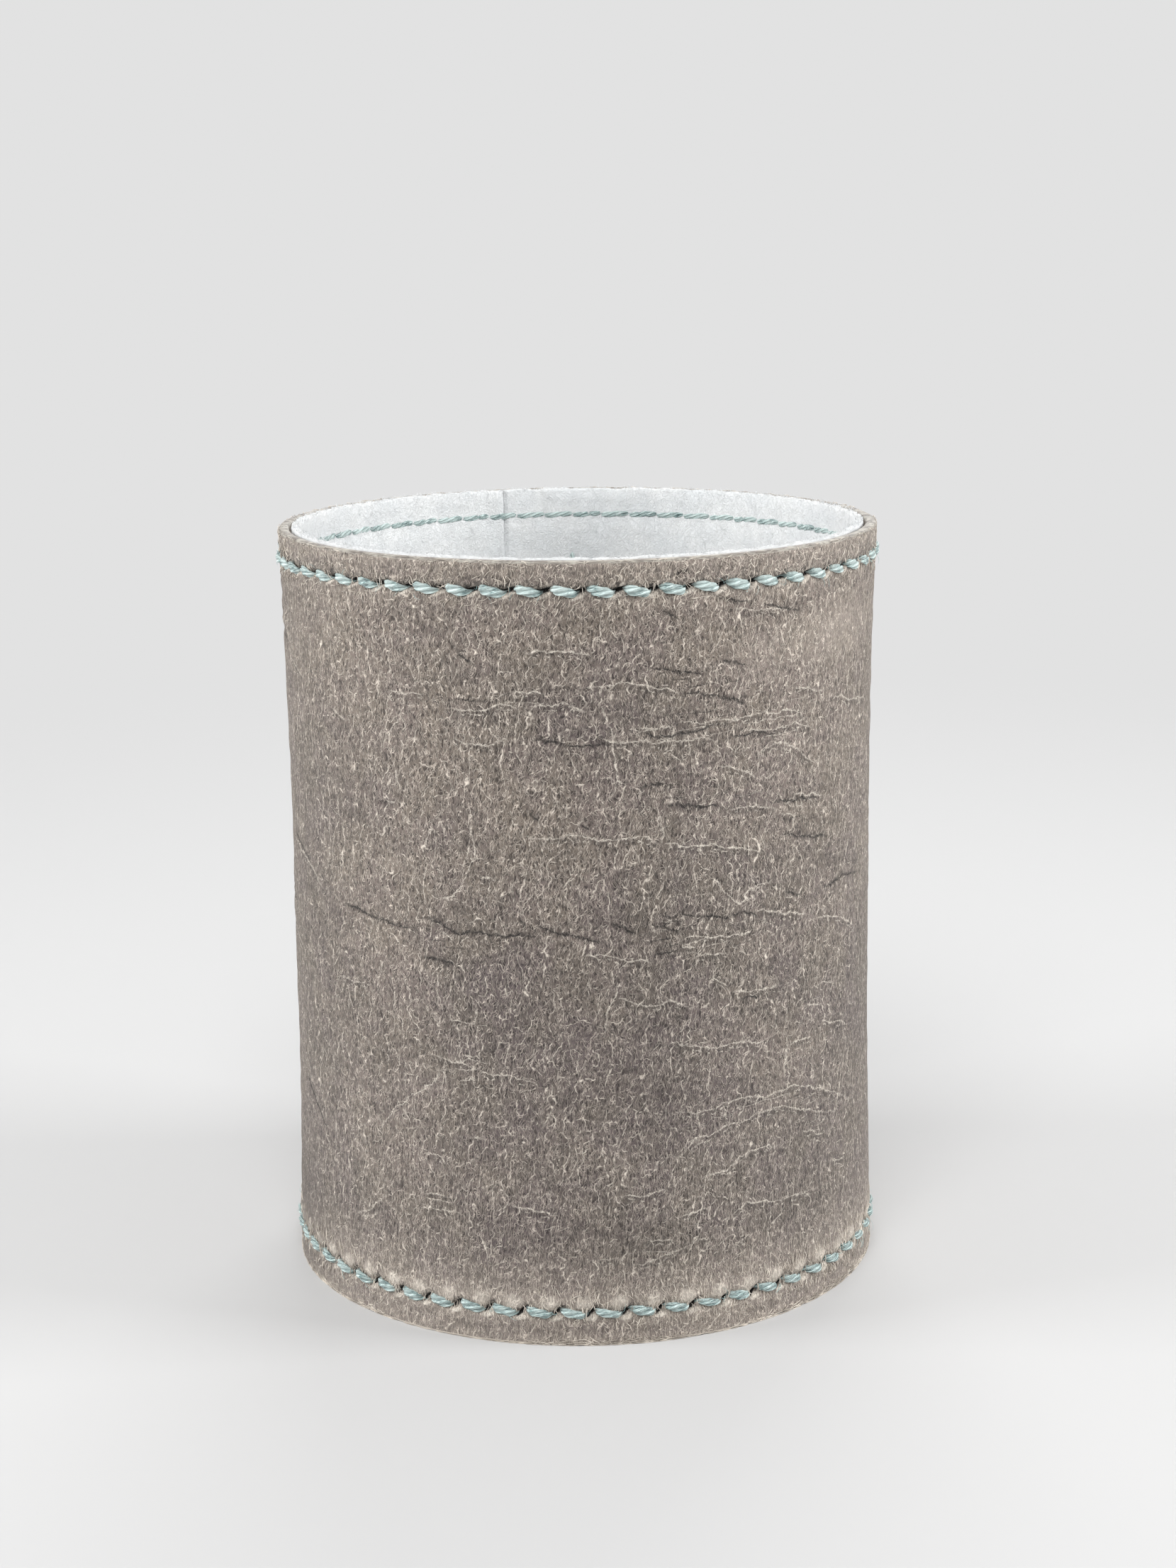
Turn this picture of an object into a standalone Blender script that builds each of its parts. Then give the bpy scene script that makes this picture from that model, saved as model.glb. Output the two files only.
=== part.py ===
"""A hand-sewn leather cooler sleeve, open at both ends and standing on its lower rim.

A strip of hide is rolled into a tube whose ends, pared to part of their thickness, lap at the back. A strip
of felt lines it. Three rows of saddle stitch hold them: one along each rim and one down the lap. Units are
metres, +Z is up, the origin is the centre of the lower rim, and the lap faces +Y.
"""

import math

import bmesh
import bpy

# The layers from the bore outwards, measured at the sleeve's waist.
BORE_RADIUS = 0.0332
LINING_THICKNESS = 0.0011
LAYER_GAP = 0.00025
LEATHER_THICKNESS = 0.00135

# The sleeve stands this high and opens a little towards each rim.
SLEEVE_HEIGHT = 0.092
WAIST_HEIGHT = 0.055
TOP_FLARE = 0.0005
BOTTOM_FLARE = 0.0007
FLARE_POWER = 2.5
EDGE_BEVEL = 0.0003
LINING_INSET = 0.0004

# The holes: their pitch, how far each row lies from its edge, and the room that they leave round the thread.
STITCH_PITCH = 0.004
TOP_MARGIN = 0.0034
BOTTOM_MARGIN = 0.004
SEAM_END_MARGIN = 0.0085
HOLE_CLEARANCE = 0.0002

# The thread: plump where it lies outside, thin in its holes and flat against the felt.
THREAD_WIDTH = 0.00104
THREAD_PROUD = 0.0004
THREAD_IN_HOLE = 0.0005
STITCH_SLANT = 0.00015

# The channel that each row is drawn into, in the hide and in the softer felt.
CHANNEL_DEPTH = 0.00045
CHANNEL_SLOPE = 0.0003
CHANNEL_SPARE = 0.0001
FELT_CHANNEL_DEPTH = 0.0006
FELT_THREAD_COVER = 0.00005

# The slit round the lap's two tongues. Its edges, and the felt's joint, fall between stitches of the rims.
SLIT = 0.0001
LAP_HALF_WIDTH_IN_STITCHES = 1.4
FELT_JOINT_IN_STITCHES = 2.45

# How far a cutter runs past the faces that it cuts, and how finely the wall's curves are followed.
CUT_BEYOND = 0.0006
WALL_STEPS = 2
LAP_STEPS = 3

LINING_OUTER = BORE_RADIUS + LINING_THICKNESS
LEATHER_INNER = LINING_OUTER + LAYER_GAP
LEATHER_OUTER = LEATHER_INNER + LEATHER_THICKNESS
RIM_STITCHES = round(2 * math.pi * LEATHER_OUTER / STITCH_PITCH)
STITCH_ANGLE = 2 * math.pi / RIM_STITCHES
BACK = math.pi / 2
LOW_ROW = BOTTOM_MARGIN
HIGH_ROW = SLEEVE_HEIGHT - TOP_MARGIN
SEAM_LENGTH = SLEEVE_HEIGHT - 2 * SEAM_END_MARGIN
SEAM_STITCHES = round(SEAM_LENGTH / STITCH_PITCH)

# A hole is a slanted slit, and a channel's floor is just wider than the slit is tall.
HOLE_HALF_WIDTH = THREAD_IN_HOLE / 2 + HOLE_CLEARANCE
HOLE_HALF_HEIGHT = THREAD_IN_HOLE / 2 + HOLE_CLEARANCE
HOLE_LEAN = STITCH_SLANT * HOLE_HALF_WIDTH / (THREAD_IN_HOLE / 2)
CHANNEL_FOOT = HOLE_HALF_HEIGHT + HOLE_LEAN + CHANNEL_SPARE
CHANNEL_LIP = CHANNEL_FOOT + CHANNEL_SLOPE

LEATHER_COLOUR = (0.19, 0.16, 0.14, 1.0)
FELT_COLOUR = (0.80, 0.82, 0.81, 1.0)
THREAD_COLOUR = (0.17, 0.38, 0.38, 1.0)


def flare(z):
    """How far the wall stands outside its waist at height z."""
    above = max(z - WAIST_HEIGHT, 0) / (SLEEVE_HEIGHT - WAIST_HEIGHT)
    below = max(WAIST_HEIGHT - z, 0) / WAIST_HEIGHT
    return TOP_FLARE * above**FLARE_POWER + BOTTOM_FLARE * below**FLARE_POWER


def heights(low, high):
    """Evenly spaced heights strictly between two others, where the wall's curve is followed."""
    return [low + (high - low) * i / (WALL_STEPS + 1) for i in range(1, WALL_STEPS + 1)]


def new_object(name, mesh_builder):
    """A new object in the scene, whose mesh is what the bmesh holds."""
    mesh = bpy.data.meshes.new(name)
    bmesh.ops.recalc_face_normals(mesh_builder, faces=mesh_builder.faces)
    mesh_builder.to_mesh(mesh)
    mesh_builder.free()
    obj = bpy.data.objects.new(name, mesh)
    bpy.context.collection.objects.link(obj)
    return obj


def skin(mesh_builder, first, second):
    """The faces between two closed loops of as many vertices."""
    for i in range(len(first)):
        j = (i + 1) % len(first)
        mesh_builder.faces.new((first[i], first[j], second[j], second[i]))


def revolved(name, profile):
    """A ring with one flat for each rim stitch. The profile's radii are those of the flats."""
    mesh_builder = bmesh.new()
    start = BACK + STITCH_ANGLE / 2
    to_corner = 1 / math.cos(STITCH_ANGLE / 2)
    ring = [
        mesh_builder.verts.new((r * to_corner * math.cos(start), r * to_corner * math.sin(start), z))
        for r, z in profile
    ]
    edges = [mesh_builder.edges.new((a, b)) for a, b in zip(ring, ring[1:] + ring[:1])]
    bmesh.ops.spin(
        mesh_builder,
        geom=edges,
        cent=(0, 0, 0),
        axis=(0, 0, 1),
        angle=2 * math.pi,
        steps=RIM_STITCHES,
        use_merge=True,
    )
    bmesh.ops.remove_doubles(mesh_builder, verts=mesh_builder.verts, dist=1e-6)
    return new_object(name, mesh_builder)


def column(name, plan, low, high):
    """An upright cutter. Its plan is a polygon of (angle, radius), and its radii follow the wall's flare."""
    mesh_builder = bmesh.new()
    layers = []
    for z in [low, *heights(low, high), high]:
        out = flare(min(max(z, 0), SLEEVE_HEIGHT))
        layers.append(
            [mesh_builder.verts.new(((r + out) * math.cos(a), (r + out) * math.sin(a), z)) for a, r in plan]
        )
    for lower, upper in zip(layers, layers[1:]):
        skin(mesh_builder, lower, upper)
    mesh_builder.faces.new(layers[0])
    mesh_builder.faces.new(layers[-1])
    return new_object(name, mesh_builder)


def on_rim(z):
    """Places a point of a rim's stitching: s counts stitches round the rim, r is a radius, a is upwards."""

    def place(s, r, a):
        angle = BACK + s * STITCH_ANGLE
        out = r + flare(z)
        return (out * math.cos(angle), out * math.sin(angle), z + a)

    return place


def on_seam(s, r, a):
    """Places a point of the lap's stitching: s counts stitches upwards, and a is across the row."""
    z = SEAM_END_MARGIN + s * SEAM_LENGTH / SEAM_STITCHES
    return (a, r + flare(z), z)


def punches(name, rows):
    """The slanted slits of every row, as one cutter. A row is (place, number of holes, stitch length)."""
    mesh_builder = bmesh.new()
    outline = [(-1, -1), (1, -1), (1, 1), (-1, 1)]
    for place, count, length in rows:
        for k in range(count):
            inner, outer = (
                [
                    mesh_builder.verts.new(
                        place(k + u * HOLE_HALF_WIDTH / length, r, v * HOLE_HALF_HEIGHT + u * HOLE_LEAN)
                    )
                    for u, v in outline
                ]
                for r in (BORE_RADIUS - CUT_BEYOND, LEATHER_OUTER + CUT_BEYOND)
            )
            mesh_builder.faces.new(inner)
            mesh_builder.faces.new(outer)
            skin(mesh_builder, inner, outer)
    return new_object(name, mesh_builder)


def channel_points(z, surface, shift):
    """The profile across a rim's channel, upwards: two lips on the surface and two corners on the floor."""
    points = [(-CHANNEL_LIP, 0), (-CHANNEL_FOOT, shift), (CHANNEL_FOOT, shift), (CHANNEL_LIP, 0)]
    return [(surface + flare(z + a) + b, z + a) for a, b in points]


def leather_profile():
    """The hide's section: bevelled rims, and a stitching channel near each on the outside."""
    middle = heights(LOW_ROW + CHANNEL_LIP, HIGH_ROW - CHANNEL_LIP)
    return [
        (LEATHER_INNER + flare(0), 0),
        (LEATHER_OUTER + flare(0) - EDGE_BEVEL, 0),
        (LEATHER_OUTER + flare(EDGE_BEVEL), EDGE_BEVEL),
        *channel_points(LOW_ROW, LEATHER_OUTER, -CHANNEL_DEPTH),
        *[(LEATHER_OUTER + flare(z), z) for z in middle],
        *channel_points(HIGH_ROW, LEATHER_OUTER, -CHANNEL_DEPTH),
        (LEATHER_OUTER + flare(SLEEVE_HEIGHT - EDGE_BEVEL), SLEEVE_HEIGHT - EDGE_BEVEL),
        (LEATHER_OUTER + flare(SLEEVE_HEIGHT) - EDGE_BEVEL, SLEEVE_HEIGHT),
        (LEATHER_INNER + flare(SLEEVE_HEIGHT), SLEEVE_HEIGHT),
        *[(LEATHER_INNER + flare(z), z) for z in reversed(heights(0, SLEEVE_HEIGHT))],
    ]


def lining_profile():
    """The felt's section. It stops just short of each rim, and the stitches sink into its inner face."""
    low, high = LINING_INSET, SLEEVE_HEIGHT - LINING_INSET
    middle = heights(LOW_ROW + CHANNEL_LIP, HIGH_ROW - CHANNEL_LIP)
    return [
        (BORE_RADIUS + flare(low), low),
        (LINING_OUTER + flare(low), low),
        *[(LINING_OUTER + flare(z), z) for z in heights(low, high)],
        (LINING_OUTER + flare(high), high),
        (BORE_RADIUS + flare(high), high),
        *reversed(channel_points(HIGH_ROW, BORE_RADIUS, FELT_CHANNEL_DEPTH)),
        *[(BORE_RADIUS + flare(z), z) for z in reversed(middle)],
        *reversed(channel_points(LOW_ROW, BORE_RADIUS, FELT_CHANNEL_DEPTH)),
    ]


def arc(start, end, radius):
    """Points of (angle, radius) along an arc, both ends included."""
    return [(start + (end - start) * i / LAP_STEPS, radius) for i in range(LAP_STEPS + 1)]


def lap_cutter():
    """The thin stepped slit between the lap's two tongues, which share what the channel leaves of the hide."""
    reach = LAP_HALF_WIDTH_IN_STITCHES * STITCH_ANGLE
    left, right = BACK - reach, BACK + reach
    turn = SLIT / LEATHER_OUTER
    inner_face = LEATHER_INNER + (LEATHER_THICKNESS - CHANNEL_DEPTH - SLIT) / 2
    plan = [
        (left, LEATHER_INNER - CUT_BEYOND),
        (left + turn, LEATHER_INNER - CUT_BEYOND),
        *arc(left + turn, right + turn, inner_face),
        (right + turn, LEATHER_OUTER + CUT_BEYOND),
        (right, LEATHER_OUTER + CUT_BEYOND),
        *arc(right, left, inner_face + SLIT),
    ]
    return column("lap_cutter", plan, -CUT_BEYOND, SLEEVE_HEIGHT + CUT_BEYOND)


def felt_joint_cutter():
    """The slit where the felt's two ends meet, beside the lap."""
    angle = BACK + FELT_JOINT_IN_STITCHES * STITCH_ANGLE
    turn = SLIT / LINING_OUTER
    low, high = BORE_RADIUS - CUT_BEYOND, LINING_OUTER + CUT_BEYOND
    plan = [(angle, low), (angle + turn, low), (angle + turn, high), (angle, high)]
    return column("felt_joint_cutter", plan, -CUT_BEYOND, SLEEVE_HEIGHT + CUT_BEYOND)


def seam_channel_cutter(name, surface, shift):
    """The lap's upright stitching channel, cut from a surface by a signed depth along the radius."""
    half_angle = CHANNEL_FOOT / surface
    beyond = math.copysign(CUT_BEYOND, shift)
    plan = [
        (BACK - half_angle, surface - beyond),
        (BACK + half_angle, surface - beyond),
        (BACK + half_angle, surface + shift),
        (BACK - half_angle, surface + shift),
    ]
    return column(name, plan, SEAM_END_MARGIN - CHANNEL_FOOT, SLEEVE_HEIGHT - SEAM_END_MARGIN + CHANNEL_FOOT)


def cut(obj, cutter):
    """Takes the cutter's shape out of the object with a live Boolean, and hides the cutter."""
    modifier = obj.modifiers.new(cutter.name, "BOOLEAN")
    modifier.operation = "DIFFERENCE"
    modifier.solver = "EXACT"
    modifier.object = cutter
    cutter.hide_render = True
    cutter.display_type = "WIRE"


def stitch_levels():
    """Half sections of the thread where it lies plump outside: (radius, half width), outermost first."""
    top = LEATHER_OUTER + THREAD_PROUD
    bottom = LEATHER_OUTER - CHANNEL_DEPTH + HOLE_CLEARANCE
    half = THREAD_WIDTH / 2
    return [(top, 0.6 * half), ((top + bottom) / 2, half), (bottom, 0.6 * half)]


def post_levels():
    """Half sections where it turns into a hole: three for the stitch outside and two for the one inside."""
    top = LEATHER_OUTER
    bottom = LEATHER_OUTER - CHANNEL_DEPTH + HOLE_CLEARANCE
    half = THREAD_IN_HOLE / 2
    inside = BORE_RADIUS + FELT_THREAD_COVER
    against_felt = BORE_RADIUS + FELT_CHANNEL_DEPTH - HOLE_CLEARANCE
    return [
        (top, 0.7 * half),
        ((top + bottom) / 2, half),
        (bottom, 0.7 * half),
        (against_felt, half),
        (inside, half),
    ]


def stitching(name, place, holes, length, closed):
    """A row of saddle stitch: between each two holes, a plump stitch outside and a flat one inside."""
    mesh_builder = bmesh.new()
    half_post = THREAD_IN_HOLE / 2 / length

    def section(s, levels, lean):
        """Vertices at one place along the row: each level's upper and lower point."""
        return [[mesh_builder.verts.new(place(s, r, v * a + lean)) for v in (1, -1)] for r, a in levels]

    def loop(levels):
        """A section's vertices in order round it."""
        return [pair[0] for pair in levels] + [pair[1] for pair in reversed(levels)]

    def post(k):
        """The thread through one hole, open on each side where the stitches leave it."""
        near = section(k - half_post, post_levels(), -STITCH_SLANT)
        far = section(k + half_post, post_levels(), STITCH_SLANT)
        for level in (0, -1):
            mesh_builder.faces.new((near[level][0], far[level][0], far[level][1], near[level][1]))
        for side in (0, 1):
            for i in range(4):
                mesh_builder.faces.new((near[i][side], far[i][side], far[i + 1][side], near[i + 1][side]))
        for face in (near, far):
            mesh_builder.faces.new((face[2][0], face[2][1], face[3][1], face[3][0]))
        return near, far

    posts = [post(k) for k in range(holes)]
    following = posts[1:] + posts[:1] if closed else posts[1:]
    for k, ((_, start), (end, _)) in enumerate(zip(posts, following)):
        middle = loop(section(k + 0.5, stitch_levels(), 0))
        skin(mesh_builder, loop(start[:3]), middle)
        skin(mesh_builder, middle, loop(end[:3]))
        skin(mesh_builder, loop(start[3:]), loop(end[3:]))
    if not closed:
        for face in (posts[0][0], posts[-1][1]):
            mesh_builder.faces.new(loop(face[:3]))
            mesh_builder.faces.new(loop(face[3:]))
    return new_object(name, mesh_builder)


def finish(obj, colour, roughness):
    """Gives an object its own material, and smooths what is round."""
    material = bpy.data.materials.new(obj.name)
    material.use_nodes = True
    shader = material.node_tree.nodes["Principled BSDF"]
    shader.inputs["Base Color"].default_value = colour
    shader.inputs["Roughness"].default_value = roughness
    shader.inputs["Metallic"].default_value = 0.0
    obj.data.materials.append(material)
    obj.data.shade_smooth()
    obj.data.set_sharp_from_angle(angle=math.radians(30))


def main():
    for obj in list(bpy.data.objects):
        bpy.data.objects.remove(obj)

    low_row, high_row = on_rim(LOW_ROW), on_rim(HIGH_ROW)
    seam_holes = SEAM_STITCHES + 1
    seam_pitch = SEAM_LENGTH / SEAM_STITCHES
    rim_pitch = STITCH_ANGLE * LEATHER_OUTER
    hole_cutter = punches(
        "hole_cutter",
        [
            (low_row, RIM_STITCHES, rim_pitch),
            (high_row, RIM_STITCHES, rim_pitch),
            (on_seam, seam_holes, seam_pitch),
        ],
    )

    leather = revolved("outer_leather", leather_profile())
    cut(leather, seam_channel_cutter("leather_channel_cutter", LEATHER_OUTER, -CHANNEL_DEPTH))
    cut(leather, hole_cutter)
    cut(leather, lap_cutter())
    finish(leather, LEATHER_COLOUR, 0.75)

    lining = revolved("felt_lining", lining_profile())
    cut(lining, seam_channel_cutter("felt_channel_cutter", BORE_RADIUS, FELT_CHANNEL_DEPTH))
    cut(lining, hole_cutter)
    cut(lining, felt_joint_cutter())
    finish(lining, FELT_COLOUR, 1.0)

    finish(stitching("bottom_stitching", low_row, RIM_STITCHES, rim_pitch, True), THREAD_COLOUR, 0.6)
    finish(stitching("top_stitching", high_row, RIM_STITCHES, rim_pitch, True), THREAD_COLOUR, 0.6)
    finish(stitching("seam_stitching", on_seam, seam_holes, seam_pitch, False), THREAD_COLOUR, 0.6)


main()
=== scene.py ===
# %% [markdown]
# # A hand-sewn leather sleeve, one layer at a time
#
# The sleeve is a strip of grey-brown hide, a strip of white felt and three rows of waxed thread.
# The solid model says where each of them lies. This script gives each one its real surface: grain
# and creases in the hide, a ragged edge on the felt, and plies in the thread.

# %% Load the solid model
import math

import bpy
import numpy as np
from mathutils import Matrix, Vector


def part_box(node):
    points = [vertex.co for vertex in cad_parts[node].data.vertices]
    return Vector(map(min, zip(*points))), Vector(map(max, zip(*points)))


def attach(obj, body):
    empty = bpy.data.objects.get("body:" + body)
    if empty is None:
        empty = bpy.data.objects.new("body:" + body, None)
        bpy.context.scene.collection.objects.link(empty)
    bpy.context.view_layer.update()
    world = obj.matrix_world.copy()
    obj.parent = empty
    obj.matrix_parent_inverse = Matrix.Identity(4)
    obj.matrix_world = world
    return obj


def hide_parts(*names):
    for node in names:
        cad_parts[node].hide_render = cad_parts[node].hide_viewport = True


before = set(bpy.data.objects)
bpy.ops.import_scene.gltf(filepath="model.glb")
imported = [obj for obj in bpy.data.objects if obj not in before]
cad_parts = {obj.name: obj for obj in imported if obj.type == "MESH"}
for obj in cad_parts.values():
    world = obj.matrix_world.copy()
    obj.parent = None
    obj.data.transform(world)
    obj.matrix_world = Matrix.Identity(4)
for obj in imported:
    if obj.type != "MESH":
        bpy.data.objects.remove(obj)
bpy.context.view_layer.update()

print("solid pieces:", sorted(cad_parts))

# %% [markdown]
# Every size comes from the solid model, or is a maker's own measure, such as a stitch length. The
# wall is almost a cylinder: it opens a little towards both rims, by a power of the distance from
# its waist.

# %% Sizes of the wall
MM = 0.001
hide_low, hide_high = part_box("outer_leather")
felt_low, felt_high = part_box("felt_lining")
HEIGHT = hide_high.z - hide_low.z
WAIST_HEIGHT = 55 * MM
TOP_FLARE = 0.5 * MM
BOTTOM_FLARE = 0.7 * MM
FLARE_POWER = 2.5
EDGE_ROUND = 0.3 * MM
HIDE_THICKNESS = 1.35 * MM
FELT_THICKNESS = 1.1 * MM


def flare(z):
    """How far the wall stands outside its waist: a share of each rim's flare, by the power law."""
    above = np.clip((z - WAIST_HEIGHT) / (HEIGHT - WAIST_HEIGHT), 0, 1)
    below = np.clip((WAIST_HEIGHT - z) / WAIST_HEIGHT, 0, 1)
    return TOP_FLARE * above**FLARE_POWER + BOTTOM_FLARE * below**FLARE_POWER


WAIST_RADIUS = hide_high.x - float(flare(EDGE_ROUND))
FELT_RADIUS = felt_high.x - float(flare(felt_low.z))
BORE_RADIUS = FELT_RADIUS - FELT_THICKNESS
print(f"waist radius {WAIST_RADIUS / MM:.2f} mm, bore radius {BORE_RADIUS / MM:.2f} mm")

# %% Sizes of the stitching
STITCH_LENGTH = 4 * MM
STITCHES = round(2 * math.pi * WAIST_RADIUS / STITCH_LENGTH)
TURN = 2 * math.pi / STITCHES
PITCH = WAIST_RADIUS * TURN
BACK = math.pi / 2
FRONT_STITCH = STITCHES / 2
LAP = 1.4
SLIT = 0.1 * MM


def middle_height(node):
    """The height of a row's centre line."""
    low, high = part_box(node)
    return (low.z + high.z) / 2


TOP_ROW = middle_height("top_stitching")
BOTTOM_ROW = middle_height("bottom_stitching")
THREAD_IN_HOLE = 0.5 * MM
seam_low, seam_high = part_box("seam_stitching")
SEAM_START = seam_low.z + THREAD_IN_HOLE / 2
SEAM_END = seam_high.z - THREAD_IN_HOLE / 2
SEAM_STITCHES = round((SEAM_END - SEAM_START) / STITCH_LENGTH)
SEAM_PITCH = (SEAM_END - SEAM_START) / SEAM_STITCHES
print(f"{STITCHES} stitches of {PITCH / MM:.2f} mm round each rim, {SEAM_STITCHES} up the back")

# %% [markdown]
# The camera stands where the photograph was taken from. A camera's matrix holds its right, up and
# backward directions, so they are worked out first from three angles. The focal length in pixels
# becomes a lens in millimetres, because Blender's sensor spans the picture's long side.

# %% Camera
PHOTO_WIDTH = 1659
PHOTO_HEIGHT = 2212
FOCAL_PIXELS = 3800
SENSOR = 36
EYE = np.array([-6.0, -328.5, 132.7]) * MM
LOOK_DOWN = math.radians(12.66)
LOOK_RIGHT = math.radians(1.21)
ROLL = math.radians(0.67)

forward = np.array([math.sin(LOOK_RIGHT), math.cos(LOOK_RIGHT), 0.0]) * math.cos(LOOK_DOWN)
forward[2] = -math.sin(LOOK_DOWN)
level_right = np.array([math.cos(LOOK_RIGHT), -math.sin(LOOK_RIGHT), 0.0])
level_down = np.cross(forward, level_right)
right = math.cos(ROLL) * level_right + math.sin(ROLL) * level_down
down = math.cos(ROLL) * level_down - math.sin(ROLL) * level_right

camera_data = bpy.data.cameras.new("camera")
camera_data.sensor_width = SENSOR
camera_data.lens = FOCAL_PIXELS / PHOTO_HEIGHT * SENSOR
camera = bpy.data.objects.new("camera", camera_data)
rotation = Matrix(np.column_stack([right, -down, -forward]).tolist()).to_4x4()
camera.matrix_world = Matrix.Translation(EYE.tolist()) @ rotation
bpy.context.scene.collection.objects.link(camera)
bpy.context.scene.camera = camera
print(f"lens {camera_data.lens:.1f} mm")

# %% [markdown]
# A studio sweep is a floor that curves up into a wall, so that no line shows behind the object.
# This one is turned about the upright axis, so it looks the same from every side. The floor's
# profile is a straight run, a quarter circle and a straight rise.

# %% Helpers for grids of points


def make_mesh(name, points, faces):
    """An object whose mesh has these points and faces, smooth shaded."""
    mesh = bpy.data.meshes.new(name)
    mesh.from_pydata(points.reshape(-1, 3).tolist(), [], faces)
    mesh.validate()
    mesh.shade_smooth()
    piece = bpy.data.objects.new(name, mesh)
    bpy.context.scene.collection.objects.link(piece)
    return piece


def grid_faces(columns, rows, close_columns=False, close_rows=False, start=0):
    """The quads of a grid stored column by column, as four indices, with either way round closed."""
    i = np.arange(columns if close_columns else columns - 1)[:, None]
    j = np.arange(rows if close_rows else rows - 1)[None, :]
    i_next, j_next = (i + 1) % columns, (j + 1) % rows
    corners = [i * rows + j, i_next * rows + j, i_next * rows + j_next, i * rows + j_next]
    quads = np.stack(corners, axis=-1)
    return (quads.reshape(-1, 4) + start).tolist()


def ripples(x, y, length, seed, waves=16):
    """A smooth random height of about -1 to 1: a sum of cosine waves in random directions."""
    rng = np.random.default_rng(seed)
    height = np.zeros(np.broadcast(x, y).shape)
    for heading, phase, stretch in rng.uniform([0, 0, 0.7], [2 * np.pi, 2 * np.pi, 1.5], (waves, 3)):
        number = 2 * np.pi / (length * stretch)
        height += np.cos(number * (x * np.cos(heading) + y * np.sin(heading)) + phase)
    return height / math.sqrt(waves)


def bell(x, width):
    """A smooth hump of height 1 at zero: e to the minus square of x over its width."""
    return np.exp(-((x / width) ** 2))


# %% Sweep
FLOOR_RADIUS = 1.1
SWEEP_RADIUS = 0.5
WALL_RISE = 0.8
SWEEP_COLUMNS = 96

bend = np.linspace(0, np.pi / 2, 16)
profile_radius = np.concatenate(
    [[0.001], np.linspace(0.1, FLOOR_RADIUS, 6), FLOOR_RADIUS + SWEEP_RADIUS * np.sin(bend[1:])]
)
profile_height = np.concatenate([np.zeros(7), SWEEP_RADIUS * (1 - np.cos(bend[1:]))])
profile_radius = np.append(profile_radius, profile_radius[-1])
profile_height = np.append(profile_height, profile_height[-1] + WALL_RISE)
around = np.linspace(0, 2 * np.pi, SWEEP_COLUMNS, endpoint=False)[:, None]
sweep_x, sweep_y = profile_radius * np.cos(around), profile_radius * np.sin(around)
sweep_points = np.stack([sweep_x, sweep_y, profile_height + 0 * around], axis=-1)
sweep_faces = grid_faces(SWEEP_COLUMNS, len(profile_radius), close_columns=True)
sweep_faces.append([i * len(profile_radius) for i in reversed(range(SWEEP_COLUMNS))])
sweep = make_mesh("sweep", sweep_points, sweep_faces)
print("sweep faces:", len(sweep_faces))

# %% [markdown]
# Light comes from everywhere at a low level, from a large soft lamp above and in front, and from
# one lamp on each side. The side lamps brighten the wall where it turns away, as in the photograph.

# %% Lamps
WORLD_STRENGTH = 0.50


def soft_lamp(name, place, size, watts):
    """A square lamp that looks at the middle of the sleeve."""
    data = bpy.data.lights.new(name, "AREA")
    data.shape = "SQUARE"
    data.size = size
    data.energy = watts
    lamp = bpy.data.objects.new(name, data)
    target = Vector((0, 0, HEIGHT / 2))
    lamp.location = place
    lamp.rotation_euler = (target - Vector(place)).to_track_quat("-Z", "Y").to_euler()
    bpy.context.scene.collection.objects.link(lamp)


for name, place, size, watts in [
    ("key_lamp", (-0.08, -0.55, 0.70), 0.45, 3.9),
    ("left_lamp", (-0.80, -0.12, 0.28), 0.35, 4.2),
    ("right_lamp", (0.80, -0.12, 0.32), 0.35, 5.0),
    ("back_lamp", (0.1, 0.7, 0.55), 0.5, 3.0),
]:
    soft_lamp(name, place, size, watts)
world = bpy.data.worlds.new("studio")
bpy.context.scene.world = world
world.use_nodes = True
background = world.node_tree.nodes["Background"]
background.inputs["Strength"].default_value = WORLD_STRENGTH
background.inputs["Color"].default_value = (1, 1, 1, 1)
bpy.context.scene.view_settings.view_transform = "Standard"
print("lamps:", len(bpy.data.lights))

# %% [markdown]
# A material is a small graph. These helpers add its nodes, so that each finish below reads as a
# recipe: a pattern, what it does to the colour, and what it does to the relief.

# %% Helpers for materials


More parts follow.
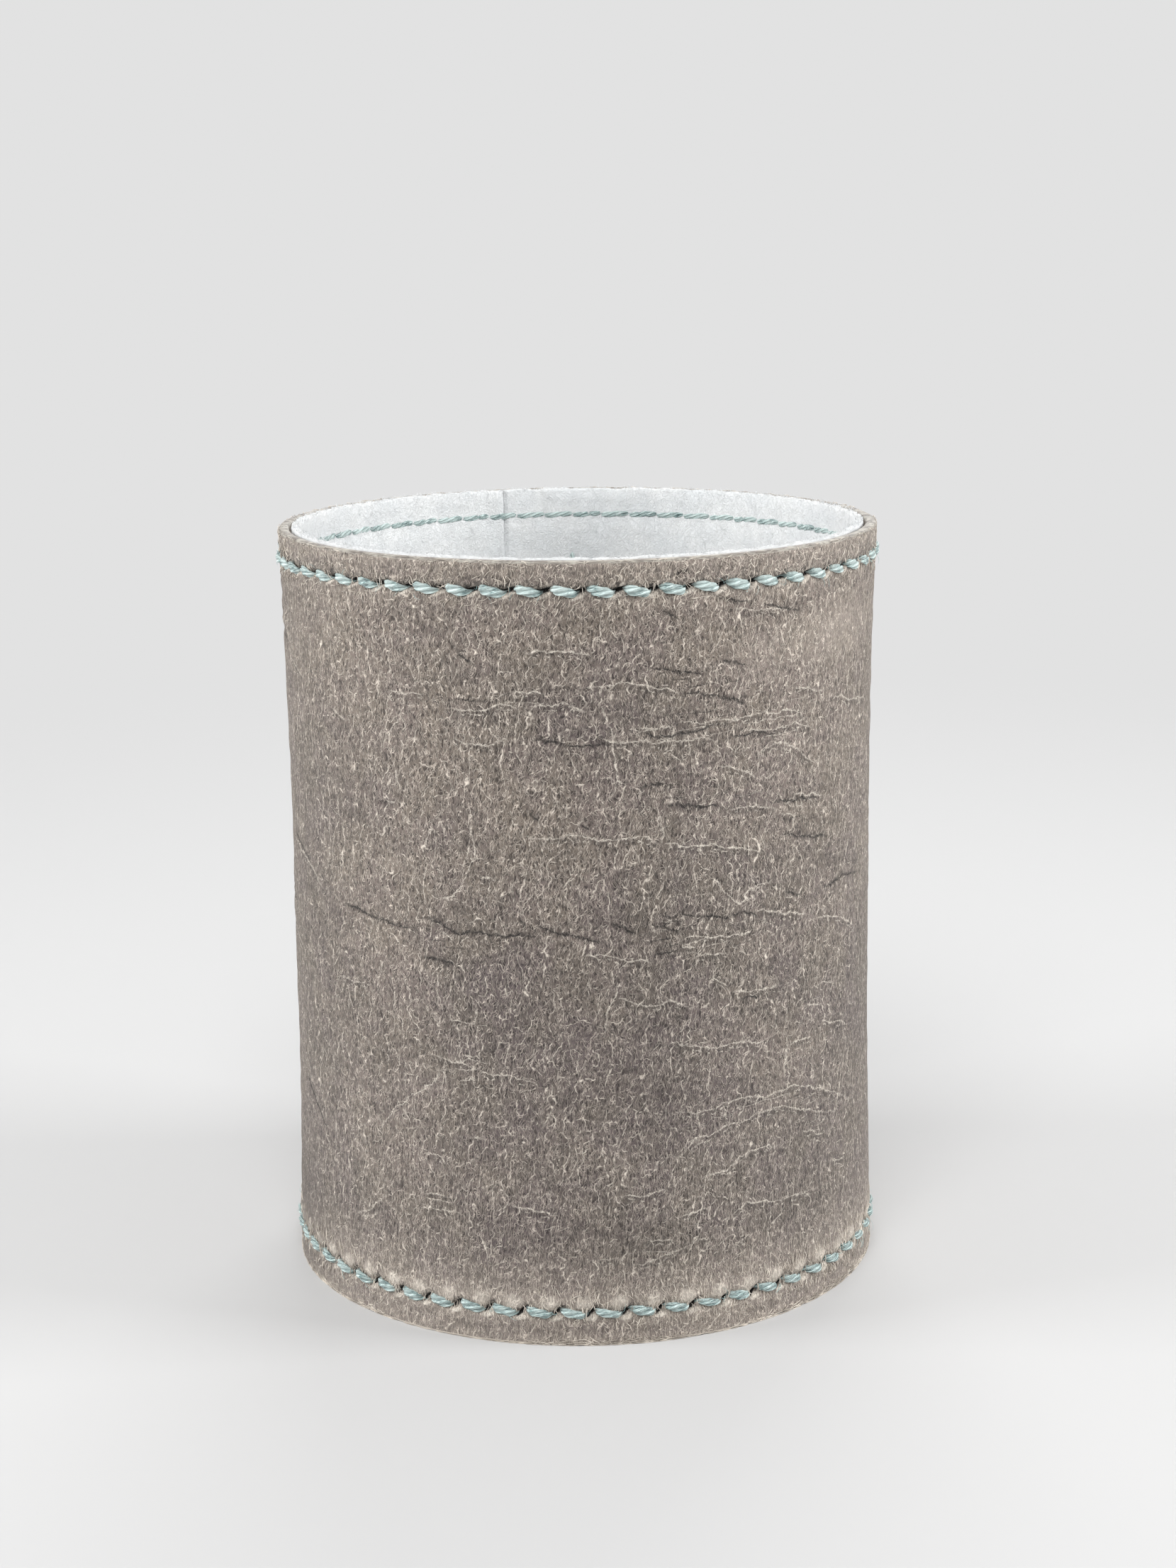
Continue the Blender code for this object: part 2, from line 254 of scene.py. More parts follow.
class Recipe:
    """A new material's graph, with a method for each kind of node that the finishes use."""

    def __init__(self, name):
        self.material = bpy.data.materials.new(name)
        self.material.use_nodes = True
        self.tree = self.material.node_tree
        self.shader = self.tree.nodes["Principled BSDF"]

    def add(self, kind, settings=None, inputs=None):
        """Adds a node, sets its properties, and gives each socket a value or another node's output."""
        node = self.tree.nodes.new(kind)
        for key, value in (settings or {}).items():
            setattr(node, key, value)
        for key, value in (inputs or {}).items():
            self.feed(node.inputs[key], value)
        return node

    def feed(self, socket, value):
        """Links an output to a socket, or sets the socket's own value."""
        if isinstance(value, bpy.types.NodeSocket):
            self.tree.links.new(value, socket)
        else:
            socket.default_value = value

    def position(self):
        """The place on the object in millimetres."""
        coordinates = self.add("ShaderNodeTexCoord").outputs["Object"]
        inputs = {"Vector": coordinates, "Scale": [1 / MM] * 3}
        return self.add("ShaderNodeMapping", inputs=inputs).outputs[0]

    def parts(self, place):
        """The three numbers of a place: to the right, to the back and up."""
        return self.add("ShaderNodeSeparateXYZ", inputs={0: place}).outputs

    def attribute(self, name):
        """A number stored on the mesh's points."""
        return self.add("ShaderNodeAttribute", {"attribute_name": name}).outputs["Fac"]

    def maths(self, operation, a, b=0.0, c=0.0, clamp=False):
        """Arithmetic on up to three numbers."""
        settings = {"operation": operation, "use_clamp": clamp}
        return self.add("ShaderNodeMath", settings, {0: a, 1: b, 2: c}).outputs[0]

    def times(self, a, b):
        """The product of two numbers."""
        return self.maths("MULTIPLY", a, b)

    def plus(self, a, b, clamp=False):
        """The sum of two numbers."""
        return self.maths("ADD", a, b, clamp=clamp)

    def minus(self, a, b):
        """The first number less the second."""
        return self.maths("SUBTRACT", a, b)

    def most(self, a, b):
        """The larger of two numbers."""
        return self.maths("MAXIMUM", a, b)

    def times_plus(self, a, b, c, clamp=False):
        """The product of two numbers, plus a third."""
        return self.maths("MULTIPLY_ADD", a, b, c, clamp)

    def shift(self, a, b, amount):
        """Vector a plus vector b times an amount."""
        scaled = self.add("ShaderNodeVectorMath", {"operation": "SCALE"}, {0: b, "Scale": amount})
        inputs = {0: a, 1: scaled.outputs[0]}
        return self.add("ShaderNodeVectorMath", {"operation": "ADD"}, inputs).outputs[0]

    def noise(self, place, scale, detail=2.0, roughness=0.5, distortion=0.0, output="Fac", flat=False):
        """Smooth random values: Fac is a number from 0 to 1, Color is three. Flat takes two axes."""
        inputs = {"Vector": place, "Scale": scale, "Detail": detail, "Roughness": roughness}
        inputs["Distortion"] = distortion
        settings = {"noise_dimensions": "2D" if flat else "3D"}
        return self.add("ShaderNodeTexNoise", settings, inputs).outputs[output]

    def between(self, value, low, high, to_low=0.0, to_high=1.0):
        """Maps a range smoothly to another and clamps it."""
        inputs = {"Value": value, 1: low, 2: high, 3: to_low, 4: to_high}
        settings = {"interpolation_type": "SMOOTHSTEP"}
        return self.add("ShaderNodeMapRange", settings, inputs).outputs[0]

    def ridge(self, value, middle, half_width):
        """Thin lines: 1 where a value passes its middle, falling to 0 a half width away."""
        off = self.maths("ABSOLUTE", self.minus(value, middle))
        return self.between(off, 0.0, half_width, 1.0, 0.0)

    def mix(self, share, a, b):
        """Two colours mixed by a share."""
        return self.add("ShaderNodeMix", {"data_type": "RGBA"}, {0: share, 6: a, 7: b}).outputs[2]

    def relief(self, height, depth):
        """Bends the light as if the surface had this height, in metres for a height of 1."""
        inputs = {"Height": height, "Distance": depth, "Strength": 1.0}
        self.feed(self.shader.inputs["Normal"], self.add("ShaderNodeBump", inputs=inputs).outputs[0])

    def set(self, **values):
        """Sets or feeds the shader's own sockets, with underscores for spaces."""
        for key, value in values.items():
            self.feed(self.shader.inputs[key.replace("_", " ")], value)

    def coat(self, piece):
        """Gives the finished material to a piece."""
        piece.data.materials.append(self.material)


def grey(value):
    """A colour without hue."""
    return (value, value, value, 1)


def stretched(vector, upward):
    """A place whose height counts for less, so that patterns on it grow taller."""
    inputs = {"Vector": vector, "Scale": (1, 1, upward)}
    return recipe.add("ShaderNodeMapping", inputs=inputs).outputs[0]


# %% Floor's finish
NEAR_FLOOR = 130
FAR_FLOOR = 420
BACKDROP_LEVEL = 0.76

recipe = Recipe("pale_floor")
x, y, _ = recipe.parts(recipe.position())
squares = recipe.times_plus(x, x, recipe.times(y, y))
far = recipe.between(recipe.maths("SQRT", squares), NEAR_FLOOR, FAR_FLOOR)
light_path = recipe.add("ShaderNodeLightPath").outputs
looking = recipe.plus(light_path["Is Camera Ray"], light_path["Is Glossy Ray"])
looking = recipe.plus(looking, light_path["Is Transmission Ray"])
seen = recipe.times(far, looking)
recipe.set(Base_Color=recipe.mix(seen, grey(0.62), grey(0.0)), Roughness=0.8)
recipe.set(Specular_IOR_Level=0.0, Emission_Color=grey(1.0))
recipe.set(Emission_Strength=recipe.times(seen, BACKDROP_LEVEL))
recipe.coat(sweep)
print("made", recipe.material.name)

# %% [markdown]
# The hide has creases at places of its own. A crease is drawn here as a stroke over the
# photograph, in its pixels, and a ray from the camera carries it on to the wall. Pale strokes are
# cracks that show the fibre, with a soft band of painted shadow below each, and dark strokes are
# folds, whose thin dark line and soft dark band are painted shade. Past the edges of the
# photograph the creases are drawn by chance. A few broad areas are painted paler or darker, partly
# the hide's own tone and partly painted light and shade: each is a middle, two radii and an amount.

# %% Strokes seen on the front
PALE_STROKES = [
    (739, 920, 767, 918, 807, 920, 838, 927),
    (820, 970, 847, 969, 868, 966, 900, 965, 943, 972, 965, 983), (545, 975, 576, 978, 597, 978),
    (718, 976, 752, 975, 767, 978), (624, 999, 655, 1003, 691, 999, 712, 994, 731, 1001),
    (739, 998, 796, 992, 809, 997, 827, 1006), (469, 999, 488, 1015), (900, 1025, 938, 1026, 949, 1025),
    (954, 1019, 1007, 1018, 1061, 1011, 1074, 1008, 1088, 998),
    (1050, 1031, 1072, 1031, 1104, 1025, 1125, 1020, 1147, 1026),
    (639, 1039, 655, 1048, 694, 1052, 707, 1043),
    (844, 1041, 863, 1046, 916, 1048, 954, 1046, 986, 1043, 1016, 1045),
    (1120, 972, 1144, 970, 1163, 972), (1174, 980, 1192, 986, 1222, 983),
    (1115, 1116, 1136, 1121, 1152, 1119, 1160, 1124),
    (1029, 1141, 1045, 1141, 1056, 1137, 1072, 1137, 1096, 1141),
    (731, 1180, 767, 1182, 820, 1181, 847, 1185, 887, 1181, 914, 1183, 933, 1191),
    (935, 1193, 949, 1191, 981, 1194, 1008, 1192, 1045, 1197, 1080, 1203),
    (1064, 1284, 1080, 1283, 1096, 1287, 1115, 1288, 1141, 1288),
    (1152, 1296, 1163, 1292, 1179, 1292, 1195, 1299, 1206, 1310),
    (962, 1322, 986, 1320, 1007, 1322, 1048, 1318, 1070, 1312), (979, 1348, 999, 1347, 1024, 1344),
    (820, 1348, 849, 1347, 874, 1353, 906, 1355, 922, 1358), (634, 1438, 652, 1440, 673, 1442),
    (1034, 1400, 1050, 1398, 1069, 1400, 1109, 1387),
    (871, 1408, 890, 1414, 908, 1418, 943, 1412, 965, 1419, 981, 1421),
    (610, 1487, 634, 1496, 671, 1508, 691, 1514, 728, 1520, 759, 1530), (650, 1523, 673, 1523),
    (933, 1470, 981, 1475, 1002, 1482, 1045, 1470, 1072, 1471, 1104, 1456),
    (1113, 1474, 1131, 1468, 1147, 1463), (1155, 1440, 1179, 1442, 1198, 1443),
    (935, 1571, 991, 1569, 1045, 1549, 1088, 1545, 1120, 1532, 1168, 1538, 1203, 1551),
    (941, 1646, 981, 1608, 1024, 1590, 1072, 1570, 1101, 1561, 1141, 1566, 1184, 1569),
    (994, 1661, 1024, 1649, 1050, 1628, 1072, 1620, 1096, 1617), (1131, 1596, 1163, 1598),
    (1174, 1638, 1190, 1633), (873, 1688, 908, 1687, 943, 1679), (996, 1660, 1039, 1641),
    (720, 1699, 746, 1707, 770, 1712, 788, 1716), (503, 1712, 520, 1705, 545, 1688),
    (597, 1682, 637, 1690), (959, 1718, 975, 1711, 1001, 1702),
    (1026, 1716, 1052, 1696, 1087, 1695, 1125, 1686, 1157, 1672), (843, 1777, 873, 1774),
    (892, 1786, 929, 1776, 943, 1769, 980, 1755), (969, 1750, 1001, 1746),
    (1035, 858, 1064, 861, 1093, 860, 1111, 858), (1074, 1007, 1099, 1007, 1109, 1002, 1136, 1003),
    (1101, 1149, 1123, 1150), (962, 1335, 981, 1337), (1005, 1379, 1018, 1383, 1028, 1389),
    (652, 1488, 676, 1488), (665, 1604, 682, 1606), (597, 1627, 618, 1629, 631, 1642),
    (474, 1376, 524, 1389), (540, 1125, 550, 1130, 558, 1131), (678, 1237, 697, 1240),
    (595, 1707, 610, 1705, 640, 1710), (908, 1751, 932, 1749, 951, 1748), (1039, 1753, 1052, 1746),
    (1015, 1080, 1042, 1083, 1069, 1099), (1069, 1064, 1091, 1049, 1118, 1050, 1134, 1064, 1156, 1080),
]
PALE_BRANCHES = [
    (847, 991, 855, 1015, 864, 1039, 871, 1104, 860, 1133), (542, 1046, 550, 1028, 563, 1012),
    (933, 1192, 934, 1168, 930, 1149), (1005, 1235, 1018, 1256, 1042, 1275, 1066, 1260),
    (665, 1156, 667, 1182, 671, 1209, 656, 1243, 637, 1266, 618, 1270),
    (597, 1193, 604, 1180, 610, 1169), (561, 1088, 558, 1109), (671, 1417, 674, 1442, 673, 1475),
    (871, 1384, 870, 1400, 855, 1435, 855, 1464), (1131, 1442, 1141, 1419, 1160, 1414),
    (1152, 1393, 1160, 1385, 1179, 1386), (1111, 1459, 1109, 1499, 1108, 1518),
    (624, 1506, 613, 1525, 582, 1546, 553, 1568, 532, 1599), (624, 1508, 631, 1527),
    (767, 1587, 780, 1566), (770, 1472, 765, 1490), (1084, 1734, 1106, 1704),
    (1042, 1269, 1064, 1253, 1091, 1239), (624, 1315, 639, 1327), (941, 1296, 951, 1300),
]
DARK_STROKES = [
    (464, 775, 500, 779), (1005, 841, 1029, 844, 1064, 851), (932, 861, 958, 873),
    (916, 943, 954, 949, 997, 950), (644, 917, 655, 929, 665, 937), (1018, 988, 1034, 992, 1053, 992),
    (900, 1030, 927, 1039, 949, 1039, 986, 1029, 1024, 1023),
    (746, 1043, 773, 1046, 807, 1052, 838, 1054, 866, 1051), (932, 1136, 991, 1137, 1018, 1138),
    (744, 1148, 762, 1159), (1107, 1258, 1131, 1262), (480, 1268, 516, 1288, 556, 1302, 587, 1314),
    (587, 1291, 616, 1300, 647, 1317, 671, 1315, 710, 1319, 744, 1319, 762, 1321),
    (757, 1304, 783, 1317, 822, 1325, 852, 1329), (860, 1301, 884, 1312, 898, 1316),
    (919, 1293, 981, 1291, 1024, 1294, 1048, 1288, 1061, 1288, 1073, 1295),
    (919, 1305, 938, 1310, 962, 1316), (922, 1346, 954, 1342), (597, 1349, 624, 1355, 642, 1362),
    (1048, 1408, 1074, 1408), (950, 1438, 962, 1438), (817, 1164, 833, 1169), (950, 808, 973, 806),
    (1156, 1253, 1188, 1234, 1210, 1231), (957, 976, 1005, 981, 1058, 992),
    (1087, 1130, 1125, 1127, 1159, 1123), (1015, 929, 1036, 934, 1058, 940),
    (1030, 1040, 1066, 1034, 1095, 1036), (900, 1112, 930, 1108, 952, 1111),
    (1075, 853, 1104, 858, 1130, 857), (640, 985, 668, 990, 690, 987),
    (1100, 1176, 1130, 1180, 1168, 1177),
]
BROAD_AREAS = [
    (930, 1310, 65, 130, -0.35), (930, 1560, 75, 100, -0.50), (1005, 1235, 60, 60, -0.30),
    (690, 1460, 120, 90, -0.25), (780, 1745, 260, 45, -0.40), (930, 1010, 70, 70, -0.25),
    (600, 1300, 70, 40, -0.20), (800, 1290, 60, 60, -0.10), (1180, 1640, 60, 90, -0.15),
    (540, 1290, 60, 240, 0.32), (590, 1540, 60, 70, 0.25), (1110, 1045, 110, 90, 0.40),
    (1150, 890, 90, 60, 0.35), (1110, 1490, 75, 100, 0.32), (480, 950, 60, 150, 0.25),
    (600, 960, 90, 90, 0.15), (730, 900, 140, 50, 0.30), (1190, 1320, 40, 180, 0.15),
    (730, 1120, 100, 60, 0.25), (1200, 880, 50, 90, 0.27), (1040, 940, 70, 60, 0.22),
    (620, 1100, 60, 60, 0.20), (450, 860, 50, 60, 0.22), (430, 1700, 50, 130, -0.75),
    (1200, 1400, 30, 90, -0.30), (1140, 1550, 50, 60, -0.30), (1130, 1640, 60, 110, -0.35),
    (920, 1400, 60, 60, -0.22), (1150, 1400, 80, 70, -0.30), (1040, 1540, 70, 60, -0.35),
    (620, 1550, 60, 70, -0.22), (450, 1450, 40, 120, -0.22), (920, 1790, 60, 50, -0.25),
]
print(len(PALE_STROKES) + len(PALE_BRANCHES), "pale strokes,", len(DARK_STROKES), "dark strokes")

# %% Carry the strokes on to the wall


def on_wall(stroke):
    """Pixels to (arc length, height): where a ray from the eye first meets the round wall."""
    pixels = np.reshape(np.array(stroke, float), (-1, 2))
    rays = (
        forward * FOCAL_PIXELS
        + right * (pixels[:, :1] - PHOTO_WIDTH / 2)
        + down * (pixels[:, 1:] - PHOTO_HEIGHT / 2)
    )
    heights = np.full(len(pixels), HEIGHT / 2)
    for _ in range(3):
        radius = WAIST_RADIUS + flare(heights)
        a = (rays[:, :2] ** 2).sum(axis=1)
        b = rays[:, :2] @ EYE[:2]
        c = EYE[:2] @ EYE[:2] - radius**2
        travel = (-b - np.sqrt(np.maximum(b**2 - a * c, 0))) / a
        heights = EYE[2] + travel * rays[:, 2]
    x, y = EYE[0] + travel * rays[:, 0], EYE[1] + travel * rays[:, 1]
    turns = (np.arctan2(y, x) - BACK) % (2 * np.pi)
    return np.column_stack([turns * WAIST_RADIUS, heights])


def chance_strokes(rng, count, length, spread):
    """Wandering strokes past the photograph's sides: level runs whose heading drifts."""
    strokes = []
    for _ in range(count):
        steps = rng.integers(3, 7)
        side = rng.choice([-1, 1])
        start = WAIST_RADIUS * (np.pi + side * rng.uniform(1.25, 2.95))
        heading = rng.normal(0, spread) + np.cumsum(rng.normal(0, spread / 2, steps))
        step = length * rng.uniform(0.4, 1.4) / steps
        x = start + np.cumsum(step * np.cos(heading))
        z = rng.uniform(9 * MM, HEIGHT - 8 * MM) + np.cumsum(step * np.sin(heading))
        strokes.append(np.column_stack([x, z]))
    return strokes


chance = np.random.default_rng(7)
pale = [on_wall(s) for s in PALE_STROKES] + chance_strokes(chance, 70, 14 * MM, 0.22)
branches = [on_wall(s) for s in PALE_BRANCHES] + chance_strokes(chance, 26, 5 * MM, 1.3)
folds = [on_wall(s) for s in DARK_STROKES] + chance_strokes(chance, 34, 11 * MM, 0.25)
print("strokes in all:", len(pale) + len(branches) + len(folds))


# %% Distance from the strokes


def stroke_field(x, z, strokes, reach):
    """For each point, the signed distance to its nearest stroke, and a strength that fades at its ends.

    The distance is positive above a stroke that runs to the right. Past the reach there is no strength.
    """
    distance = np.full(x.shape, 9 * reach)
    strength = np.zeros(x.shape)
    for stroke in strokes:
        low, high = stroke.min(axis=0) - reach, stroke.max(axis=0) + reach
        near = np.nonzero((x > low[0]) & (x < high[0]) & (z > low[1]) & (z < high[1]))
        px, pz = x[near], z[near]
        segments = len(stroke) - 1
        for k, (start, end) in enumerate(zip(stroke[:-1], stroke[1:])):
            run = end - start
            share = np.clip(((px - start[0]) * run[0] + (pz - start[1]) * run[1]) / (run @ run), 0, 1)
            dx, dz = px - start[0] - share * run[0], pz - start[1] - share * run[1]
            side = np.where(run[0] * dz - run[1] * dx > 0, 1, -1) * (1 if run[0] > 0 else -1)
            off = np.hypot(dx, dz)
            along = (k + share) / segments
            fade = np.clip(np.minimum(along, 1 - along) * 6 + 0.05, 0, 1)
            closer = off < np.abs(distance[near])
            distance[near] = np.where(closer, side * off, distance[near])
            strength[near] = np.where(closer, fade, strength[near])
    return distance, strength * (np.abs(distance) < reach)


# %% [markdown]
# The hide is one closed strip. Its two ends are pared to part of the thickness and lap at the back,
# so the strip is a little longer than the sleeve's circumference. Its surface is a grid: columns
# follow the strip, close together at each hole, and rows climb the wall, close together at the two
# rim rows.

# %% Grid of the hide
COLUMNS_PER_STITCH = 9
HOLE_CROWDING = 0.5
OUTER_ROWS = 158
ROW_CROWDING = 1.7
ROW_CROWD_WIDTH = 1.3 * MM

steps = np.arange(-math.floor(LAP * COLUMNS_PER_STITCH), (STITCHES + LAP) * COLUMNS_PER_STITCH)
steps = steps / COLUMNS_PER_STITCH
stations = steps - HOLE_CROWDING * np.sin(2 * np.pi * steps) / (2 * np.pi)
stations = stations[(stations > -LAP) & (stations < STITCHES + LAP)]
inner_edge, outer_edge = LAP, STITCHES - LAP
hair = 0.01
ends = [-LAP, STITCHES + LAP, inner_edge, inner_edge + hair, outer_edge, outer_edge + hair]
stations = np.sort(np.concatenate([stations, ends]))

fine_heights = np.linspace(EDGE_ROUND, HEIGHT - EDGE_ROUND, 4000)
crowd = bell(fine_heights - BOTTOM_ROW, ROW_CROWD_WIDTH) + bell(fine_heights - TOP_ROW, ROW_CROWD_WIDTH)
filled = np.cumsum(1 + ROW_CROWDING * crowd)
outer_heights = np.interp(np.linspace(filled[0], filled[-1], OUTER_ROWS), filled, fine_heights)
print(f"{len(stations)} columns, {OUTER_ROWS} rows")

# %% Section of the hide, once round it
top_edge = [(0.93, 0.13), (0.78, 0.03), (0.5, 0.0), (0.2, 0.03), (0.05, 0.14)]
inner_heights = np.linspace(HEIGHT - EDGE_ROUND, EDGE_ROUND, 6)
edge_depth, edge_drop = np.array(top_edge).T
section_depth = np.concatenate([np.ones(OUTER_ROWS), edge_depth, np.zeros(6), edge_depth[::-1]])
edge_drop = edge_drop * MM
section_height = np.concatenate([outer_heights, HEIGHT - edge_drop, inner_heights, edge_drop[::-1]])
print("points round the section:", len(section_depth))

# %% [markdown]
# Each hole pulls the hide in. Seen close, the thread lies in a groove, and the awl's slit leans
# across it like a slash, more steeply in the bottom row. The dark inside each slit is painted shade.
# The hide beside a slit is pushed up and rubbed, and the tuft there is pale: partly the rubbed
# fibre's own colour and partly a painted highlight on the raised lip. A slit or hump is a bell curve
# in two directions, turned by its lean: its place from the hole, along the row and up from it, then
# its lean in degrees, its half length and its half width. A hump has two more numbers: its height
# in mm and how pale it is.

# %% Relief round the stitches
SLITS = {
    "top": (-0.36, 0.12, 18, 0.98, 0.25),
    "bottom": (-0.12, 0.03, 44, 0.84, 0.21),
    "seam": (-0.20, 0.06, 24, 0.75, 0.19),
}
HUMPS = {
    "top": [(-0.50, -0.50, 22, 0.95, 0.24, 0.34, 0.80), (0.40, 0.78, 20, 0.80, 0.26, 0.16, 0.25)],
    "bottom": [(-0.10, -0.58, 12, 0.78, 0.36, 0.24, 1.00), (-0.90, 1.15, 0, 0.95, 0.90, 0.14, 0.75)],
    "seam": [(-0.30, -0.50, 24, 0.90, 0.24, 0.30, 0.50)],
}
GROOVE_DEPTH = 0.30
GROOVE_WIDTH = 0.66
SLIT_DEPTH = 0.70


def turned(u, w, form):
    """A place along and beside a form that leans: a shift to its middle, then a turn by its lean."""
    lean = math.radians(form[2])
    u, w = u - form[0], w - form[1]
    return u * math.cos(lean) + w * math.sin(lean), w * math.cos(lean) - u * math.sin(lean)


def stitch_relief(row, along, across, pitch):
    """Height of the hide round one row of holes, in metres.

    The groove is a bell across the row. Each slit or hump is a bell along it times a bell beside it, at
    the hole nearest to the point.
    """
    u = (along - np.round(along / pitch) * pitch) / MM
    w = across / MM
    height = -GROOVE_DEPTH * bell(w, GROOVE_WIDTH) * (0.85 + 0.15 * np.cos(2 * np.pi * u * MM / pitch))
    for form in [(*SLITS[row], -SLIT_DEPTH)] + HUMPS[row]:
        lengthwise, sideways = turned(u, w, form)
        height += form[5] * bell(lengthwise, form[3] * 1.1) * bell(sideways, form[4] * 1.15)
    return height * MM


# %% Hide
TONGUE_DEPTH = 0.78 * MM
LIP_LENGTH = 0.5
LIP_DROP = 0.16 * MM
END_DROP = 0.12 * MM

x_along, z_up = np.meshgrid(stations * PITCH, section_height, indexing="ij")
station_grid, depth_grid = np.meshgrid(stations, section_depth, indexing="ij")

pale_offset, pale_strength = stroke_field(x_along, z_up, pale, 1.6 * MM)
branch_offset, branch_strength = stroke_field(x_along, z_up, branches, 1.2 * MM)
fold_offset, fold_strength = stroke_field(x_along, z_up, folds, 2.2 * MM)

softness = 0.06 * ripples(x_along, z_up, 26 * MM, 1) + 0.03 * ripples(x_along / 2.5, z_up, 4 * MM, 2)
stitch_height = stitch_relief("top", x_along, z_up - TOP_ROW, PITCH)
stitch_height += stitch_relief("bottom", x_along, z_up - BOTTOM_ROW, PITCH)
by_seam = (z_up > SEAM_START - 1.5 * MM) & (z_up < SEAM_END + 1.5 * MM)
for middle in (0, STITCHES * PITCH):
    stitch_height += stitch_relief("seam", z_up - SEAM_START, middle - x_along, SEAM_PITCH) * by_seam

pale_mm, branch_mm, fold_mm = pale_offset / MM, branch_offset / MM, fold_offset / MM
crease_height = (
    pale_strength * (0.06 * bell(pale_mm - 0.5, 0.5) - 0.07 * bell(pale_mm + 0.35, 0.45))
    - branch_strength * 0.04 * bell(branch_mm, 0.4)
    + fold_strength * (0.05 * bell(np.abs(fold_mm) - 1.0, 0.55) - 0.08 * bell(fold_mm, 0.5))
)
relief = (softness + crease_height) * MM + stitch_height

outside = WAIST_RADIUS + flare(z_up) + relief
inside = WAIST_RADIUS + flare(z_up) - HIDE_THICKNESS
tongue_face = WAIST_RADIUS + flare(z_up) - TONGUE_DEPTH
lip = np.clip(1 - (station_grid - inner_edge) / LIP_LENGTH, 0, 1)
outside = np.where(station_grid <= inner_edge, tongue_face - SLIT / 2, outside - LIP_DROP * lip**2)
inside = np.where(station_grid > outer_edge, tongue_face + SLIT / 2, inside)
outside = np.where(station_grid > STITCHES + LAP - 0.05, outside - END_DROP, outside)
radius = inside + depth_grid * (outside - inside)
angle = BACK + station_grid * TURN
hide_points = np.stack([radius * np.cos(angle), radius * np.sin(angle), z_up], axis=-1)

section = len(section_height)
hide_faces = grid_faces(len(stations), section, close_rows=True)
hide_faces.append(list(range(section)))
hide_faces.append(list(range(len(stations) * section - 1, (len(stations) - 1) * section - 1, -1)))
hide = make_mesh("hide", hide_points, hide_faces)
print("hide faces:", len(hide_faces))


# %% What the hide's finish will read


def store(piece, name, values):
    """Keeps one number for each point of the piece's mesh under a name."""
    layer = piece.data.attributes.new(name, "FLOAT", "POINT")
    layer.data.foreach_set("value", np.ascontiguousarray(values, dtype=np.float32).ravel())


rubbed = 0.95 * bell(z_up - BOTTOM_ROW - 0.3 * MM, 1.7 * MM) + 0.35 * bell(z_up - TOP_ROW, 1.6 * MM)
rubbed += 0.65 * bell(z_up, 1.6 * MM) + 0.5 * bell(HEIGHT - z_up, 1.5 * MM)
rubbed += 0.25 * bell(z_up - BOTTOM_ROW - 3.5 * MM, 2.5 * MM)
# Painted light and shade: the shade makes the hide darker towards the bottom and darker at the front
# than at the sides, where less light falls on it, and each broad area adds a patch that is partly the
# hide's own tone and partly painted light and shade.
TOP_SHADE = 0.68
SHADE_DROP = 0.54
FRONT_DROP = 0.10
facing_front = (station_grid - FRONT_STITCH) * TURN
shade = TOP_SHADE - SHADE_DROP * (1 - z_up / HEIGHT) - FRONT_DROP * bell(facing_front, 0.6)
for x, y, radius_across, radius_up, amount in BROAD_AREAS:
    middle, side, above = on_wall((x, y, x + radius_across, y, x, y - radius_up))
    reach_along, reach_up = side[0] - middle[0], above[1] - middle[1]
    shade += amount * bell(x_along - middle[0], reach_along) * bell(z_up - middle[1], reach_up)
for kind, offset, strength in [
    ("pale", pale_mm, pale_strength),
    ("branch", branch_mm, branch_strength),
    ("fold", fold_mm, fold_strength),
]:
    store(hide, kind + "_offset", offset)
    store(hide, kind + "_strength", strength)
store(hide, "along", x_along / MM)
store(hide, "rubbed", np.clip(rubbed, 0, 1))
store(hide, "shade", np.clip(shade, -0.9, 1.6))
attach(hide, "root")
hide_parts("outer_leather")
print("stored on the hide:", len(hide.data.attributes))

# %% [markdown]
# The hide's face was rubbed until its fibres stood up. Close to, it is a mat of fine pale fibres
# over a darker ground, most of them upright. The pattern is worked out on the strip laid flat: how
# far along it a point is, and how high. A noise passes its middle value along winding lines. How
# far the value is from its middle, divided by how steeply it changes there, is the distance from
# such a line, so every fibre is as thin as the next. Layers of them in several sizes, stretched
# upwards and bent by a slower noise, make the mat. Low down and beside the rows the fibres are
# combed upright, and long pale veins cross all of it.

# %% Mat of fibres
recipe = Recipe("rubbed_hide")
place = recipe.position()
height_mm = recipe.parts(place)[2]
along_mm = recipe.attribute("along")
flat_place = recipe.add("ShaderNodeCombineXYZ", inputs={0: along_mm, 1: height_mm}).outputs[0]
SLOPE_STEP = 0.03
LEAST_SLOPE = 0.12


